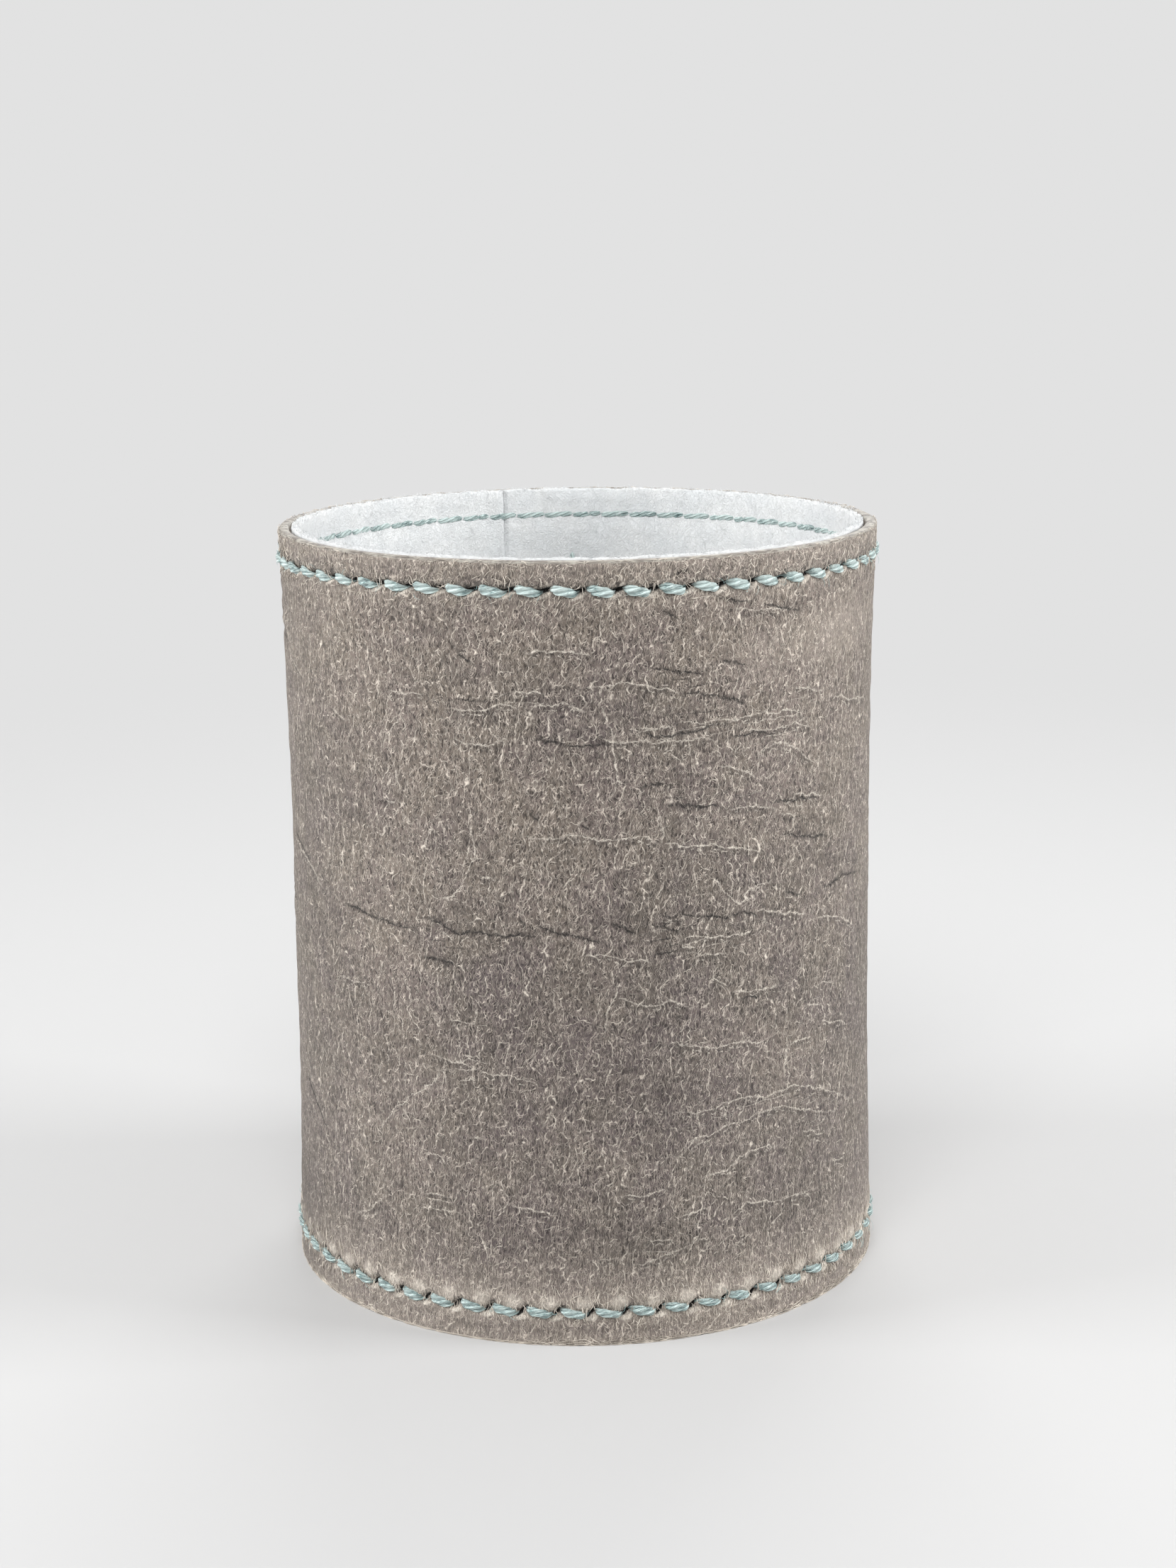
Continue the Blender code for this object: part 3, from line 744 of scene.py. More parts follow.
def fibre_lines(lean, spacing, length, half_width, curl, curl_scale):
    """Winding lines of even width, where a noise passes its middle.

    The noise is stretched to the spacing across the fibres and the length along them, both in mm, after
    a turn by the lean in degrees from upright.
    """
    wander = recipe.noise(flat_place, curl_scale, 2.0, output="Color", flat=True)
    bent = recipe.shift(flat_place, wander, curl)
    values = []
    for step in ((0, 0, 0), (-SLOPE_STEP, 0, 0), (0, -SLOPE_STEP, 0)):
        inputs = {"Vector": bent, "Location": step, "Rotation": (0, 0, math.radians(-lean))}
        inputs["Scale"] = (spacing, length, 1)
        moved = recipe.add("ShaderNodeMapping", {"vector_type": "TEXTURE"}, inputs).outputs[0]
        values.append(recipe.noise(moved, 1.0, 1.0, 0.5, flat=True))
    rise_along = recipe.minus(values[1], values[0])
    rise_up = recipe.minus(values[2], values[0])
    squares = recipe.times_plus(rise_along, rise_along, recipe.times(rise_up, rise_up))
    slope = recipe.maths("DIVIDE", recipe.maths("SQRT", squares), SLOPE_STEP)
    off = recipe.maths("ABSOLUTE", recipe.minus(values[0], 0.5))
    distance = recipe.maths("DIVIDE", off, recipe.most(slope, LEAST_SLOPE / length))
    line = recipe.between(distance, 0.0, half_width, 1.0, 0.0)
    return recipe.times(line, recipe.between(slope, LEAST_SLOPE / spacing, 0.6 / spacing))


masks = recipe.noise(flat_place, 1.5, 1.0, output="Color", flat=True)
masks = recipe.add("ShaderNodeSeparateColor", inputs={0: masks}).outputs
right_leaning = fibre_lines(16, 0.38, 2.0, 0.085, 0.8, 1.0)
left_leaning = fibre_lines(-18, 0.42, 1.7, 0.085, 0.8, 1.2)
combed = fibre_lines(3, 0.38, 3.2, 0.090, 0.5, 0.8)
crossing = fibre_lines(58, 0.52, 1.3, 0.075, 0.9, 1.1)
veins = fibre_lines(6, 2.2, 6.0, 0.12, 2.0, 0.45)
cross_veins = fibre_lines(78, 3.0, 5.0, 0.11, 2.2, 0.5)
pits = recipe.between(recipe.noise(stretched(place, 0.5), 3.2, 2.0, 0.6), 0.40, 0.50, 1.0, 0.0)

rubbed = recipe.attribute("rubbed")
low_down = recipe.between(height_mm, 10.0, 45.0, 1.0, 0.0)
fibres = recipe.times(right_leaning, recipe.between(masks[0], 0.38, 0.54, 0.58, 1.0))
combed_share = recipe.most(recipe.times(low_down, 0.8), rubbed)
fibres = recipe.most(fibres, recipe.times(combed, combed_share))
layers = (
    (left_leaning, masks[1], 0.36, 0.54, 0.50),
    (crossing, masks[2], 0.46, 0.60, 0.12),
    (veins, masks[1], 0.42, 0.54, 0.20),
    (cross_veins, masks[0], 0.48, 0.60, 0.00),
)
for layer, mask, low, high, least in layers:
    shown = recipe.between(mask, low, high, least, 1.0)
    fibres = recipe.most(fibres, recipe.times(layer, shown))
print("layers of fibre:", 2 + len(layers))

# %% Creases in the mat


def stroke_mark(kind, half_width, wobble):
    """A thin line where the stored distance from a stroke, shaken by a noise, passes zero."""
    shaken = recipe.plus(recipe.attribute(kind + "_offset"), wobble)
    line = recipe.ridge(shaken, 0.0, half_width)
    return recipe.times(line, recipe.attribute(kind + "_strength"))


slow_shake = recipe.times_plus(recipe.noise(flat_place, 0.5, 1.0, flat=True), 0.9, -0.45)
wobble = recipe.times_plus(recipe.noise(flat_place, 2.6, 2.0, flat=True), 0.50, -0.25)
wobble = recipe.plus(wobble, slow_shake)
breaks = recipe.between(masks[1], 0.36, 0.52, 0.45, 1.0)
cracks = recipe.most(stroke_mark("pale", 0.16, wobble), stroke_mark("branch", 0.14, wobble))
parallel = stroke_mark("pale", 0.12, recipe.plus(wobble, 0.55))
cracks = recipe.most(cracks, recipe.times(parallel, recipe.between(masks[2], 0.5, 0.6)))
hairy = recipe.between(recipe.noise(flat_place, 3.4, 1.0, flat=True), 0.34, 0.54, 0.50, 1.0)
cracks = recipe.times(recipe.times(cracks, breaks), hairy)
# The fold's thin dark line is painted shade; it also sinks the relief.
fold_line = recipe.times(stroke_mark("fold", 0.20, wobble), breaks)
fold_shadow = stroke_mark("fold", 0.60, wobble)
below = recipe.plus(recipe.attribute("pale_offset"), 0.42)
crease_shadow = recipe.times(recipe.ridge(below, 0.0, 0.6), recipe.attribute("pale_strength"))
print("kinds of crease: 3")

# %% Slits and tufts in the mat


def lens_mark(u, w, form, edge):
    """A lens-shaped spot: 1 inside a leaning ellipse, falling to 0 a little outside it."""
    lean = math.radians(form[2])
    u, w = recipe.minus(u, form[0]), recipe.minus(w, form[1])
    x = recipe.times(u, math.cos(lean) / form[3])
    x = recipe.times_plus(w, math.sin(lean) / form[3], x)
    y = recipe.times(u, -math.sin(lean) / form[4])
    y = recipe.times_plus(w, math.cos(lean) / form[4], y)
    ratio = recipe.times_plus(x, x, recipe.times(y, y))
    ratio = recipe.plus(ratio, ragged)
    return recipe.between(ratio, 1.0 - edge, 1.0 + edge, 1.0, 0.0)


ragged = recipe.times_plus(recipe.noise(place, 2.2, 2.0), 1.6, -0.8)
total = STITCHES * PITCH / MM
seam_across = recipe.times(recipe.maths("WRAP", along_mm, total / 2, -total / 2), -1)
seam_along = recipe.minus(height_mm, SEAM_START / MM)
seam_middle = (SEAM_END - SEAM_START) / 2 / MM
off_seam = recipe.maths("ABSOLUTE", recipe.minus(seam_along, seam_middle))
on_seam = recipe.maths("LESS_THAN", off_seam, seam_middle + 1.5)
slit_mark, tufts_and_highlight, painted_slit_shadow = 0.0, 0.0, 0.0
for row, along, across, pitch, shown in (
    ("top", along_mm, recipe.minus(height_mm, TOP_ROW / MM), PITCH, 1.0),
    ("bottom", along_mm, recipe.minus(height_mm, BOTTOM_ROW / MM), PITCH, 1.0),
    ("seam", seam_along, seam_across, SEAM_PITCH, on_seam),
):
    u = recipe.maths("WRAP", along, pitch / 2 / MM, -pitch / 2 / MM)
    slit = recipe.times(lens_mark(u, across, SLITS[row], 0.35), shown)
    slit_mark = recipe.most(slit_mark, slit)
    start, above, lean, reach, width = SLITS[row]
    # Painted shadow: a wider lens round each slit.
    around = lens_mark(u, across, (start, above + 0.2, lean, reach * 1.5, width * 3.0), 0.8)
    painted_slit_shadow = recipe.most(painted_slit_shadow, recipe.times(around, shown))
    for form in HUMPS[row]:
        tuft = recipe.times(lens_mark(u, across, form, 0.85), shown)
        tufts_and_highlight = recipe.most(tufts_and_highlight, recipe.times(tuft, form[6]))
print("rows of slits:", len(SLITS))

# %% Hide's colour and relief
GROUND_COOL = (0.112, 0.091, 0.086, 1)
GROUND_WARM = (0.240, 0.195, 0.165, 1)
GROUND_VIOLET = (0.150, 0.118, 0.126, 1)
GROUND_OLIVE = (0.165, 0.145, 0.108, 1)
# Dark colour of the pores and of the gaps between fibre clumps, also used for painted shadow and
# painted shade.
PIT_AND_SHADE_COLOUR = (0.026, 0.021, 0.020, 1)
FIBRE_DULL = (0.49, 0.42, 0.36, 1)
FIBRE_COLOUR = (0.82, 0.715, 0.62, 1)
CRACK_COLOUR = (0.88, 0.80, 0.70, 1)
FOLD_SHADE = (0.020, 0.017, 0.017, 1)
SLIT_SHADE = (0.008, 0.007, 0.007, 1)

patches = recipe.noise(place, 0.07, 3.0, 0.55)
patches = recipe.between(patches, 0.35, 0.65, -0.22, 0.22)
bands = recipe.noise(stretched(place, 4), 0.12, 3.0, 0.6)
patches = recipe.plus(patches, recipe.between(bands, 0.35, 0.65, -0.16, 0.12))
# The random tone patches and the painted light and shade together choose between the cool and the warm
# ground, and how much fibre shows.
shade_there = recipe.attribute("shade")
tone_and_painted_shade = recipe.plus(patches, shade_there, clamp=True)
clumps = recipe.noise(flat_place, 0.45, 3.0, 0.6, flat=True)
ground = recipe.mix(tone_and_painted_shade, GROUND_COOL, GROUND_WARM)
hue = recipe.between(recipe.noise(place, 0.16, 3.0, 0.6), 0.35, 0.65)
ground = recipe.mix(0.35, ground, recipe.mix(hue, GROUND_VIOLET, GROUND_OLIVE))
ground = recipe.mix(recipe.between(clumps, 0.35, 0.65, 0.22, 0.0), ground, PIT_AND_SHADE_COLOUR)
ground = recipe.mix(recipe.times(pits, 0.75), ground, PIT_AND_SHADE_COLOUR)
# Painted shadow of the hairs: dark patches in the ground from just below the top row up to the rim.
near_top = recipe.between(height_mm, TOP_ROW / MM - 1.5, TOP_ROW / MM, 0.0, 0.9)
near_top = recipe.times(near_top, recipe.between(masks[1], 0.52, 0.38, 0.0, 1.0))
ground = recipe.mix(near_top, ground, PIT_AND_SHADE_COLOUR)
pale = recipe.mix(recipe.between(masks[2], 0.38, 0.60), FIBRE_DULL, FIBRE_COLOUR)
share = recipe.between(tone_and_painted_shade, 0.0, 1.0, 0.70, 0.90)
share = recipe.times(share, recipe.between(clumps, 0.35, 0.6, 0.80, 1.06))
share = recipe.times_plus(rubbed, 0.35, share, clamp=True)
colour = recipe.mix(recipe.times(fibres, share), ground, pale)
colour = recipe.mix(recipe.times(rubbed, 0.34), colour, FIBRE_COLOUR)
shadow = recipe.most(crease_shadow, fold_shadow)
colour = recipe.mix(recipe.times(shadow, 0.28), colour, PIT_AND_SHADE_COLOUR)
tuft_hairs = recipe.noise(stretched(place, 0.25), 3.2, 2.0, 0.6)
# Painted shadow round each slit, broken into ragged hairs by a noise.
painted_slit_shadow = recipe.times(painted_slit_shadow, recipe.between(tuft_hairs, 0.44, 0.54, 0.85, 0.0))
colour = recipe.mix(painted_slit_shadow, colour, PIT_AND_SHADE_COLOUR)
# The pale tuft beside each slit is partly the rubbed fibre's own colour and partly a painted highlight
# on the raised lip.
tuft_share = recipe.times_plus(recipe.most(combed, fibres), 0.45, tuft_hairs)
tuft_share = recipe.between(tuft_share, 0.42, 0.72, 0.30, 1.0)
tuft_share = recipe.times(tuft_share, recipe.between(clumps, 0.36, 0.54, 0.60, 1.0))
colour = recipe.mix(recipe.times(tufts_and_highlight, tuft_share), colour, CRACK_COLOUR)
network = recipe.times(veins, recipe.between(masks[1], 0.42, 0.54, 0.15, 0.65))
crossing_veins = recipe.times(cross_veins, recipe.between(masks[0], 0.48, 0.60, 0.0, 0.55))
network = recipe.times(recipe.most(network, crossing_veins), hairy)
colour = recipe.mix(network, colour, CRACK_COLOUR)
colour = recipe.mix(recipe.times(cracks, 0.92), colour, CRACK_COLOUR)
# Painted shade: a thin dark line along each fold.
colour = recipe.mix(recipe.times(fold_line, 0.92), colour, FOLD_SHADE)
# Painted shade inside each slit.
colour = recipe.mix(slit_mark, colour, SLIT_SHADE)
# Painted shade: where the shade falls below zero, the hide is darkened further.
colour = recipe.mix(recipe.between(shade_there, -0.8, 0.05, 0.50, 0.0), colour, PIT_AND_SHADE_COLOUR)
# Painted light: where the shade rises past 0.9, the hide is lightened towards the fibre colour.
colour = recipe.mix(recipe.between(shade_there, 0.9, 1.5, 0.0, 0.35), colour, FIBRE_COLOUR)
fringe = recipe.between(recipe.times_plus(ragged, 0.15, height_mm), 0.12, 0.34, 0.9, 0.0)
colour = recipe.mix(fringe, colour, CRACK_COLOUR)

height = recipe.times_plus(pits, -0.5, fibres)
height = recipe.times_plus(cracks, 0.8, height)
height = recipe.times_plus(fold_line, -1.5, height)
height = recipe.times_plus(slit_mark, -1.5, height)
height = recipe.times_plus(recipe.times(tufts_and_highlight, tuft_hairs), 2.0, height)
HIDE_RELIEF = 0.10 * MM
recipe.relief(height, HIDE_RELIEF)
recipe.set(Base_Color=colour, Roughness=0.85, Sheen_Weight=0.2, Sheen_Roughness=0.5)
recipe.set(Sheen_Tint=(0.95, 0.92, 0.86, 1))
recipe.set(Specular_IOR_Level=0.25)
recipe.coat(hide)
print("made", recipe.material.name)

# %% [markdown]
# The cut edge was sanded and burnished, so it is smooth, greyer and paler than the face, with a
# thin dark line where the face's fibre ends. It is a second material on the faces of the two rims.

# %% Cut edge's finish
recipe = Recipe("burnished_edge")
place = recipe.position()
layers = recipe.noise(stretched(place, 10), 0.5, 3.0, 0.6)
lines = recipe.ridge(recipe.noise(stretched(place, 14), 0.35, 2.0), 0.5, 0.045)
blotches = recipe.noise(place, 1.1, 3.0, 0.6)
EDGE_BROWN = (0.235, 0.205, 0.175, 1)
EDGE_PALE = (0.47, 0.44, 0.385, 1)
EDGE_BLOTCH = (0.17, 0.145, 0.125, 1)
EDGE_LINE = (0.06, 0.052, 0.048, 1)
edge_colour = recipe.mix(recipe.between(layers, 0.35, 0.62), EDGE_BROWN, EDGE_PALE)
edge_colour = recipe.mix(recipe.between(blotches, 0.45, 0.7, 0.0, 0.6), edge_colour, EDGE_BLOTCH)
edge_colour = recipe.mix(recipe.times(lines, 0.6), edge_colour, EDGE_LINE)
low = recipe.parts(place)[2]
edge_colour = recipe.mix(recipe.between(low, 0.2, 0.6, 0.8, 0.0), edge_colour, CRACK_COLOUR)
recipe.relief(recipe.plus(layers, blotches), 0.08 * MM)
recipe.set(Base_Color=edge_colour, Roughness=0.6)
recipe.coat(hide)

face_kind = np.zeros((len(stations) - 1, section), int)
face_kind[:, OUTER_ROWS - 1 : OUTER_ROWS + len(top_edge)] = 1
face_kind[:, OUTER_ROWS + len(top_edge) + len(inner_heights) - 1 :] = 1
kinds = np.zeros(len(hide.data.polygons), np.int32)
kinds[: face_kind.size] = face_kind.ravel()
hide.data.polygons.foreach_set("material_index", kinds)
print("faces of the cut edge:", int(kinds.sum()))

# %% [markdown]
# Felt is wool pressed into a sheet. Its faces are soft, and a knife leaves its edge a little
# ragged. It is a closed ring: an inner face, a ragged upper edge, a hidden outer face and a lower
# edge. The inner stitches sink into it.

# %% Felt
FELT_COLUMNS = STITCHES * 14
FELT_FACE_ROWS = 64
FELT_INSET = felt_low.z

felt_stations = np.arange(FELT_COLUMNS) * STITCHES / FELT_COLUMNS
FELT_TOP = HEIGHT + 0.05 * MM
face_heights = np.linspace(FELT_INSET + 0.2 * MM, FELT_TOP - 0.25 * MM, FELT_FACE_ROWS)
edge_run = np.linspace(0.06, 0.94, 6)
felt_depth = np.concatenate([np.zeros(FELT_FACE_ROWS), edge_run, np.ones(6), edge_run[::-1]])
hidden_heights = np.linspace(face_heights[-1], face_heights[0], 6)
felt_height = np.concatenate(
    [face_heights, FELT_TOP + 0 * edge_run, hidden_heights, FELT_INSET + 0 * edge_run]
)
along, up = np.meshgrid(felt_stations * PITCH, felt_height, indexing="ij")
station_f, depth_f = np.meshgrid(felt_stations, felt_depth, indexing="ij")
chance = np.random.default_rng(11)
frayed = chance.normal(0, 1, along.shape)
frayed = (frayed + np.roll(frayed, 1, axis=0)) / 2
at_top = bell(up - FELT_TOP, 0.3 * MM)
at_bottom = bell(up - FELT_INSET, 0.3 * MM)


def felt_dent(along, across, pitch):
    """How far a row of inner stitches sinks into the felt: a bell across it, deeper at each hole."""
    at_hole = np.cos(2 * np.pi * along / pitch)
    return (0.28 + 0.16 * at_hole) * bell(across, 0.75 * MM)


dent = felt_dent(along, up - TOP_ROW, PITCH) + felt_dent(along, up - BOTTOM_ROW, PITCH)
seam_span = (up > SEAM_START - 1 * MM) & (up < SEAM_END + 1 * MM)
across_seam = (station_f + STITCHES / 2) % STITCHES - STITCHES / 2
dent = np.maximum(dent, felt_dent(up - SEAM_START, across_seam * PITCH, SEAM_PITCH) * seam_span)
FELT_JOINT = 2.45
joint_gap = 0.5 * bell((station_f - FELT_JOINT) * PITCH, 0.22 * MM)
soft = 0.03 * ripples(along, up, 5 * MM, 3) + 0.02 * ripples(along, up, 1.6 * MM, 4)
inner_wall = BORE_RADIUS + flare(up) + (0.08 + soft + dent + joint_gap + 0.010 * frayed) * MM
outer_wall = FELT_RADIUS + flare(up)
fray_depth = 0.05 * frayed * (at_top + at_bottom) * MM
felt_radius = inner_wall + depth_f * (outer_wall - inner_wall) + fray_depth
ragged = 0.05 * frayed + 0.07 * ripples(along, up, 2.6 * MM, 5)
felt_up = up + ragged * (at_top + 0.5 * at_bottom) * MM
felt_up = np.maximum(felt_up, 0.05 * MM)
felt_angle = BACK + station_f * TURN
felt_x, felt_y = felt_radius * np.cos(felt_angle), felt_radius * np.sin(felt_angle)
felt_points = np.stack([felt_x, felt_y, felt_up], axis=-1)
felt = make_mesh("felt", felt_points, grid_faces(FELT_COLUMNS, len(felt_height), True, True))
felt.data.flip_normals()
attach(felt, "root")
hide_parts("felt_lining")

# %% Felt's finish
recipe = Recipe("white_felt")
place = recipe.position()
wander = recipe.noise(place, 0.8, 2.0, output="Color")
bent = recipe.shift(place, wander, 1.2)
wool = recipe.ridge(recipe.noise(bent, 2.6, 2.0, 0.5, 0.6), 0.5, 0.07)
fluff = recipe.noise(bent, 4.5, 3.0, 0.6)
clouds = recipe.noise(place, 0.22, 3.0)
FELT_COOL = (0.80, 0.82, 0.83, 1)
FELT_WHITE = (0.87, 0.88, 0.88, 1)
FELT_SHADE = (0.66, 0.69, 0.70, 1)
felt_colour = recipe.mix(recipe.between(clouds, 0.3, 0.7), FELT_COOL, FELT_WHITE)
felt_colour = recipe.mix(recipe.between(fluff, 0.3, 0.6, 0.22, 0.0), felt_colour, FELT_SHADE)
recipe.relief(recipe.times_plus(wool, 0.35, fluff), 0.10 * MM)
recipe.set(Base_Color=felt_colour, Roughness=0.95, Sheen_Weight=0.5, Sheen_Roughness=0.5)
recipe.set(Specular_IOR_Level=0.2)
recipe.coat(felt)
print("made", recipe.material.name)

# %% [markdown]
# Saddle stitch has two threads that pass each other in every hole. One lies outside where the other
# lies inside. So each row is two paths, half a period apart, and each path climbs out of a hole,
# swells over the stitch and dives again. A thread is four twisted plies, each a thin tube that
# winds round the path.

# %% Path of a thread
OUTSIDE_KEYS = [
    (0.06, 0.04, -1.30, 0.22, 0.22),
    (0.36, 0.20, -0.82, 0.26, 0.24),
    (0.62, 0.24, -0.26, 0.42, 0.30),
    (0.96, 0.18, 0.05, 0.53, 0.36),
    (1.60, 0.06, 0.15, 0.57, 0.38),
    (2.26, -0.08, 0.13, 0.55, 0.37),
    (2.78, -0.20, 0.00, 0.46, 0.33),
    (3.12, -0.25, -0.34, 0.33, 0.27),
    (3.42, -0.20, -0.86, 0.24, 0.23),
]
INSIDE_KEYS = [
    (3.96, -0.04, -1.30, 0.22, 0.22),
    (4.17, 0.07, -2.15, 0.26, 0.24),
    (4.65, 0.09, -2.40, 0.36, 0.20),
    (6.00, 0.00, -2.45, 0.44, 0.20),
    (7.35, -0.09, -2.40, 0.36, 0.20),
    (7.83, -0.07, -2.15, 0.26, 0.24),
]
KEY_STITCH = 4.0
PLIES = 4
SIDES = 7
RINGS_PER_KEY = 3
PLY_SHARE = 0.5
PLY_OFFSET = 0.52
TWIST_LENGTH = 6.5


def smooth_path(keys, closed):
    """A Catmull-Rom curve: each stretch is a cubic set by the keys at its ends and their neighbours."""
    if closed:
        before, after, last = np.roll(keys, 1, 0), np.roll(keys, -1, 0), np.roll(keys, -2, 0)
        wrap = keys[0] * 0
        wrap[0] = closed
        before[0] -= wrap
        after[-1] += wrap
        last[-2:] += wrap
        here = keys
    else:
        here, after = keys[:-1], keys[1:]
        before = np.vstack([keys[:1], keys[:-2]])
        last = np.vstack([keys[2:], keys[-1:]])
    t = (np.arange(RINGS_PER_KEY) / RINGS_PER_KEY)[None, :, None]
    before, here, after, last = (k[:, None, :] for k in (before, here, after, last))
    curve = 0.5 * (
        2 * here
        + (after - before) * t
        + (2 * before - 5 * here + 4 * after - last) * t**2
        + (3 * here - before - 3 * after + last) * t**3
    )
    curve = curve.reshape(-1, keys.shape[1])
    return curve if closed else np.vstack([curve, keys[-1:]])


def thread_keys(first_hole, periods, pitch, rng):
    """Keys for one thread of a row, from a hole on: each period is a stitch outside and one inside."""
    pattern = np.array(OUTSIDE_KEYS + INSIDE_KEYS)
    pattern[:, 0] *= pitch / MM / KEY_STITCH
    keys = np.tile(pattern, (periods, 1, 1))
    outside = slice(2, 8)
    keys[:, outside, 1] += rng.normal(0, 0.035, (periods, 1))
    keys[:, outside, 2] += rng.normal(0, 0.025, (periods, 1))
    keys[:, outside, 3:] *= 1 + rng.normal(0, 0.06, (periods, 1, 2))
    keys[:, 3:6, 0] += rng.normal(0, 0.06, (periods, 1))
    keys[:, :, 0] += (first_hole + 2 * np.arange(periods)[:, None]) * pitch / MM
    return keys.reshape(-1, pattern.shape[1])


# %% Plies round the path


def plies(path, place, twist_start, closed):
    """The points and faces of the plies, with three numbers for each point.

    They are its turn round the ply, its length along it, and 1 on the ply's crest falling to -1 at
    its back. A ply's centre circles the path once in each twist length. The section is squashed to
    the path's own half width, across the row, and half thickness, square to the path.
    """
    centre, width, thick = path[:, :3], path[:, 3], path[:, 4]
    if closed:
        ahead, behind = np.roll(centre, -1, 0), np.roll(centre, 1, 0)
        ahead[-1, 0] += closed
        behind[0, 0] -= closed
        tangent = ahead - behind
    else:
        tangent = np.gradient(centre, axis=0)
    tangent /= np.linalg.norm(tangent, axis=1, keepdims=True)
    across = np.array([0.0, 1.0, 0.0]) - tangent * tangent[:, 1:2]
    across /= np.linalg.norm(across, axis=1, keepdims=True)
    square = np.cross(across, tangent)
    run = np.concatenate([[0], np.cumsum(np.linalg.norm(np.diff(centre, axis=0), axis=1))])
    if closed:
        total = run[-1] + np.linalg.norm(centre[0] + [closed, 0, 0] - centre[-1])
        turns = round(total / TWIST_LENGTH) / total
    else:
        turns = 1 / TWIST_LENGTH
    ply = np.arange(PLIES)[:, None, None]
    side = np.arange(SIDES)[None, None, :]
    winding = 2 * np.pi * (ply / PLIES + turns * run[None, :, None]) + twist_start
    spoke = winding + 2 * np.pi * side / SIDES
    reach_w = width[None, :, None] * (PLY_OFFSET * np.cos(winding) + PLY_SHARE * np.cos(spoke))
    reach_t = thick[None, :, None] * (PLY_OFFSET * np.sin(winding) + PLY_SHARE * np.sin(spoke))
    points = centre[None, :, None] + reach_w[..., None] * across[None, :, None]
    points = points + reach_t[..., None] * square[None, :, None]
    rings = len(path)
    faces = []
    for p in range(PLIES):
        start = p * rings * SIDES
        faces += grid_faces(rings, SIDES, close_columns=bool(closed), close_rows=True, start=start)
        if not closed:
            faces.append([start + i for i in range(SIDES)])
            faces.append([start + (rings - 1) * SIDES + i for i in reversed(range(SIDES))])
    turn_round = np.broadcast_to(side / SIDES + ply * 0.27, points.shape[:3])
    crest = np.broadcast_to(np.cos(2 * np.pi * side / SIDES), points.shape[:3])
    length = np.broadcast_to(run[None, :, None], points.shape[:3])
    return place(points.reshape(-1, 3) * MM), faces, [turn_round.ravel(), length.ravel(), crest.ravel()]


def round_rim(row_height):
    """Places a stitch's own point (along, across, outwards) on a rim's row."""

    def place(points):
        angle = BACK + points[:, 0] / PITCH * TURN
        radius = WAIST_RADIUS + flare(row_height) + points[:, 2]
        x, y = radius * np.cos(angle), radius * np.sin(angle)
        return np.column_stack([x, y, row_height + points[:, 1]])

    return place


def up_the_back(points):
    """Places a stitch's own point on the seam: along is up, across is to +X, outwards is to +Y."""
    height = SEAM_START + points[:, 0]
    return np.column_stack([points[:, 1], WAIST_RADIUS + flare(height) + points[:, 2], height])


def sew(name, node, threads):
    """Joins a row's threads into one piece for its solid. A thread is (keys, place, closed)."""
    all_points, all_faces, numbers, count = [], [], [], 0
    for index, (keys, place, closed) in enumerate(threads):
        path = smooth_path(keys, closed)
        points, faces, stored = plies(path, place, index * 1.3, closed)
        all_points.append(points)
        all_faces += [[i + count for i in face] for face in faces]
        numbers.append(np.array(stored))
        count += len(points)
    piece = make_mesh(name, np.vstack(all_points), all_faces)
    for attribute, values in zip(("ply_turn", "ply_length", "ply_crest"), np.hstack(numbers)):
        store(piece, attribute, values)
    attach(piece, "root")
    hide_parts(node)
    print(name, "faces:", len(all_faces))
    return piece


# %% Sew the rows
chance = np.random.default_rng(23)
circumference = STITCHES * PITCH / MM
half_round = STITCHES // 2
rim_rows = [("top_thread", "top_stitching", TOP_ROW), ("bottom_thread", "bottom_stitching", BOTTOM_ROW)]
threads = []
for name, node, height in rim_rows:
    both = [thread_keys(first, half_round, PITCH, chance) for first in (0, 1)]
    threads.append(sew(name, node, [(keys, round_rim(height), circumference) for keys in both]))

outside_count = len(OUTSIDE_KEYS)
seam_first = thread_keys(0, (SEAM_STITCHES + 1) // 2, SEAM_PITCH, chance)
seam_first = seam_first[: len(seam_first) - len(INSIDE_KEYS) + 1]
seam_second = thread_keys(-1, (SEAM_STITCHES + 1) // 2 + 1, SEAM_PITCH, chance)
seam_second = seam_second[outside_count : len(seam_second) - outside_count + 1]
seam_pair = [(keys, up_the_back, 0) for keys in (seam_first, seam_second)]
threads.append(sew("seam_thread", "seam_stitching", seam_pair))

# %% Thread's finish
recipe = Recipe("waxed_thread")
turn_round = recipe.attribute("ply_turn")
length = recipe.attribute("ply_length")
strand = recipe.add(
    "ShaderNodeCombineXYZ",
    inputs={"X": recipe.times(turn_round, 9.0), "Y": recipe.times(length, 0.55)},
).outputs[0]
filaments = recipe.noise(strand, 2.0, 2.0, 0.65)
place = recipe.position()
wear_and_painted_light = recipe.noise(place, 0.6, 3.0)
THREAD_DARK = (0.026, 0.062, 0.066, 1)
THREAD_MIDDLE = (0.270, 0.430, 0.425, 1)
THREAD_PALE = (0.840, 0.990, 0.960, 1)
thread_colour = recipe.mix(recipe.between(filaments, 0.40, 0.48), THREAD_DARK, THREAD_MIDDLE)
thread_colour = recipe.mix(recipe.between(filaments, 0.48, 0.55), thread_colour, THREAD_PALE)
high = recipe.parts(place)[2]
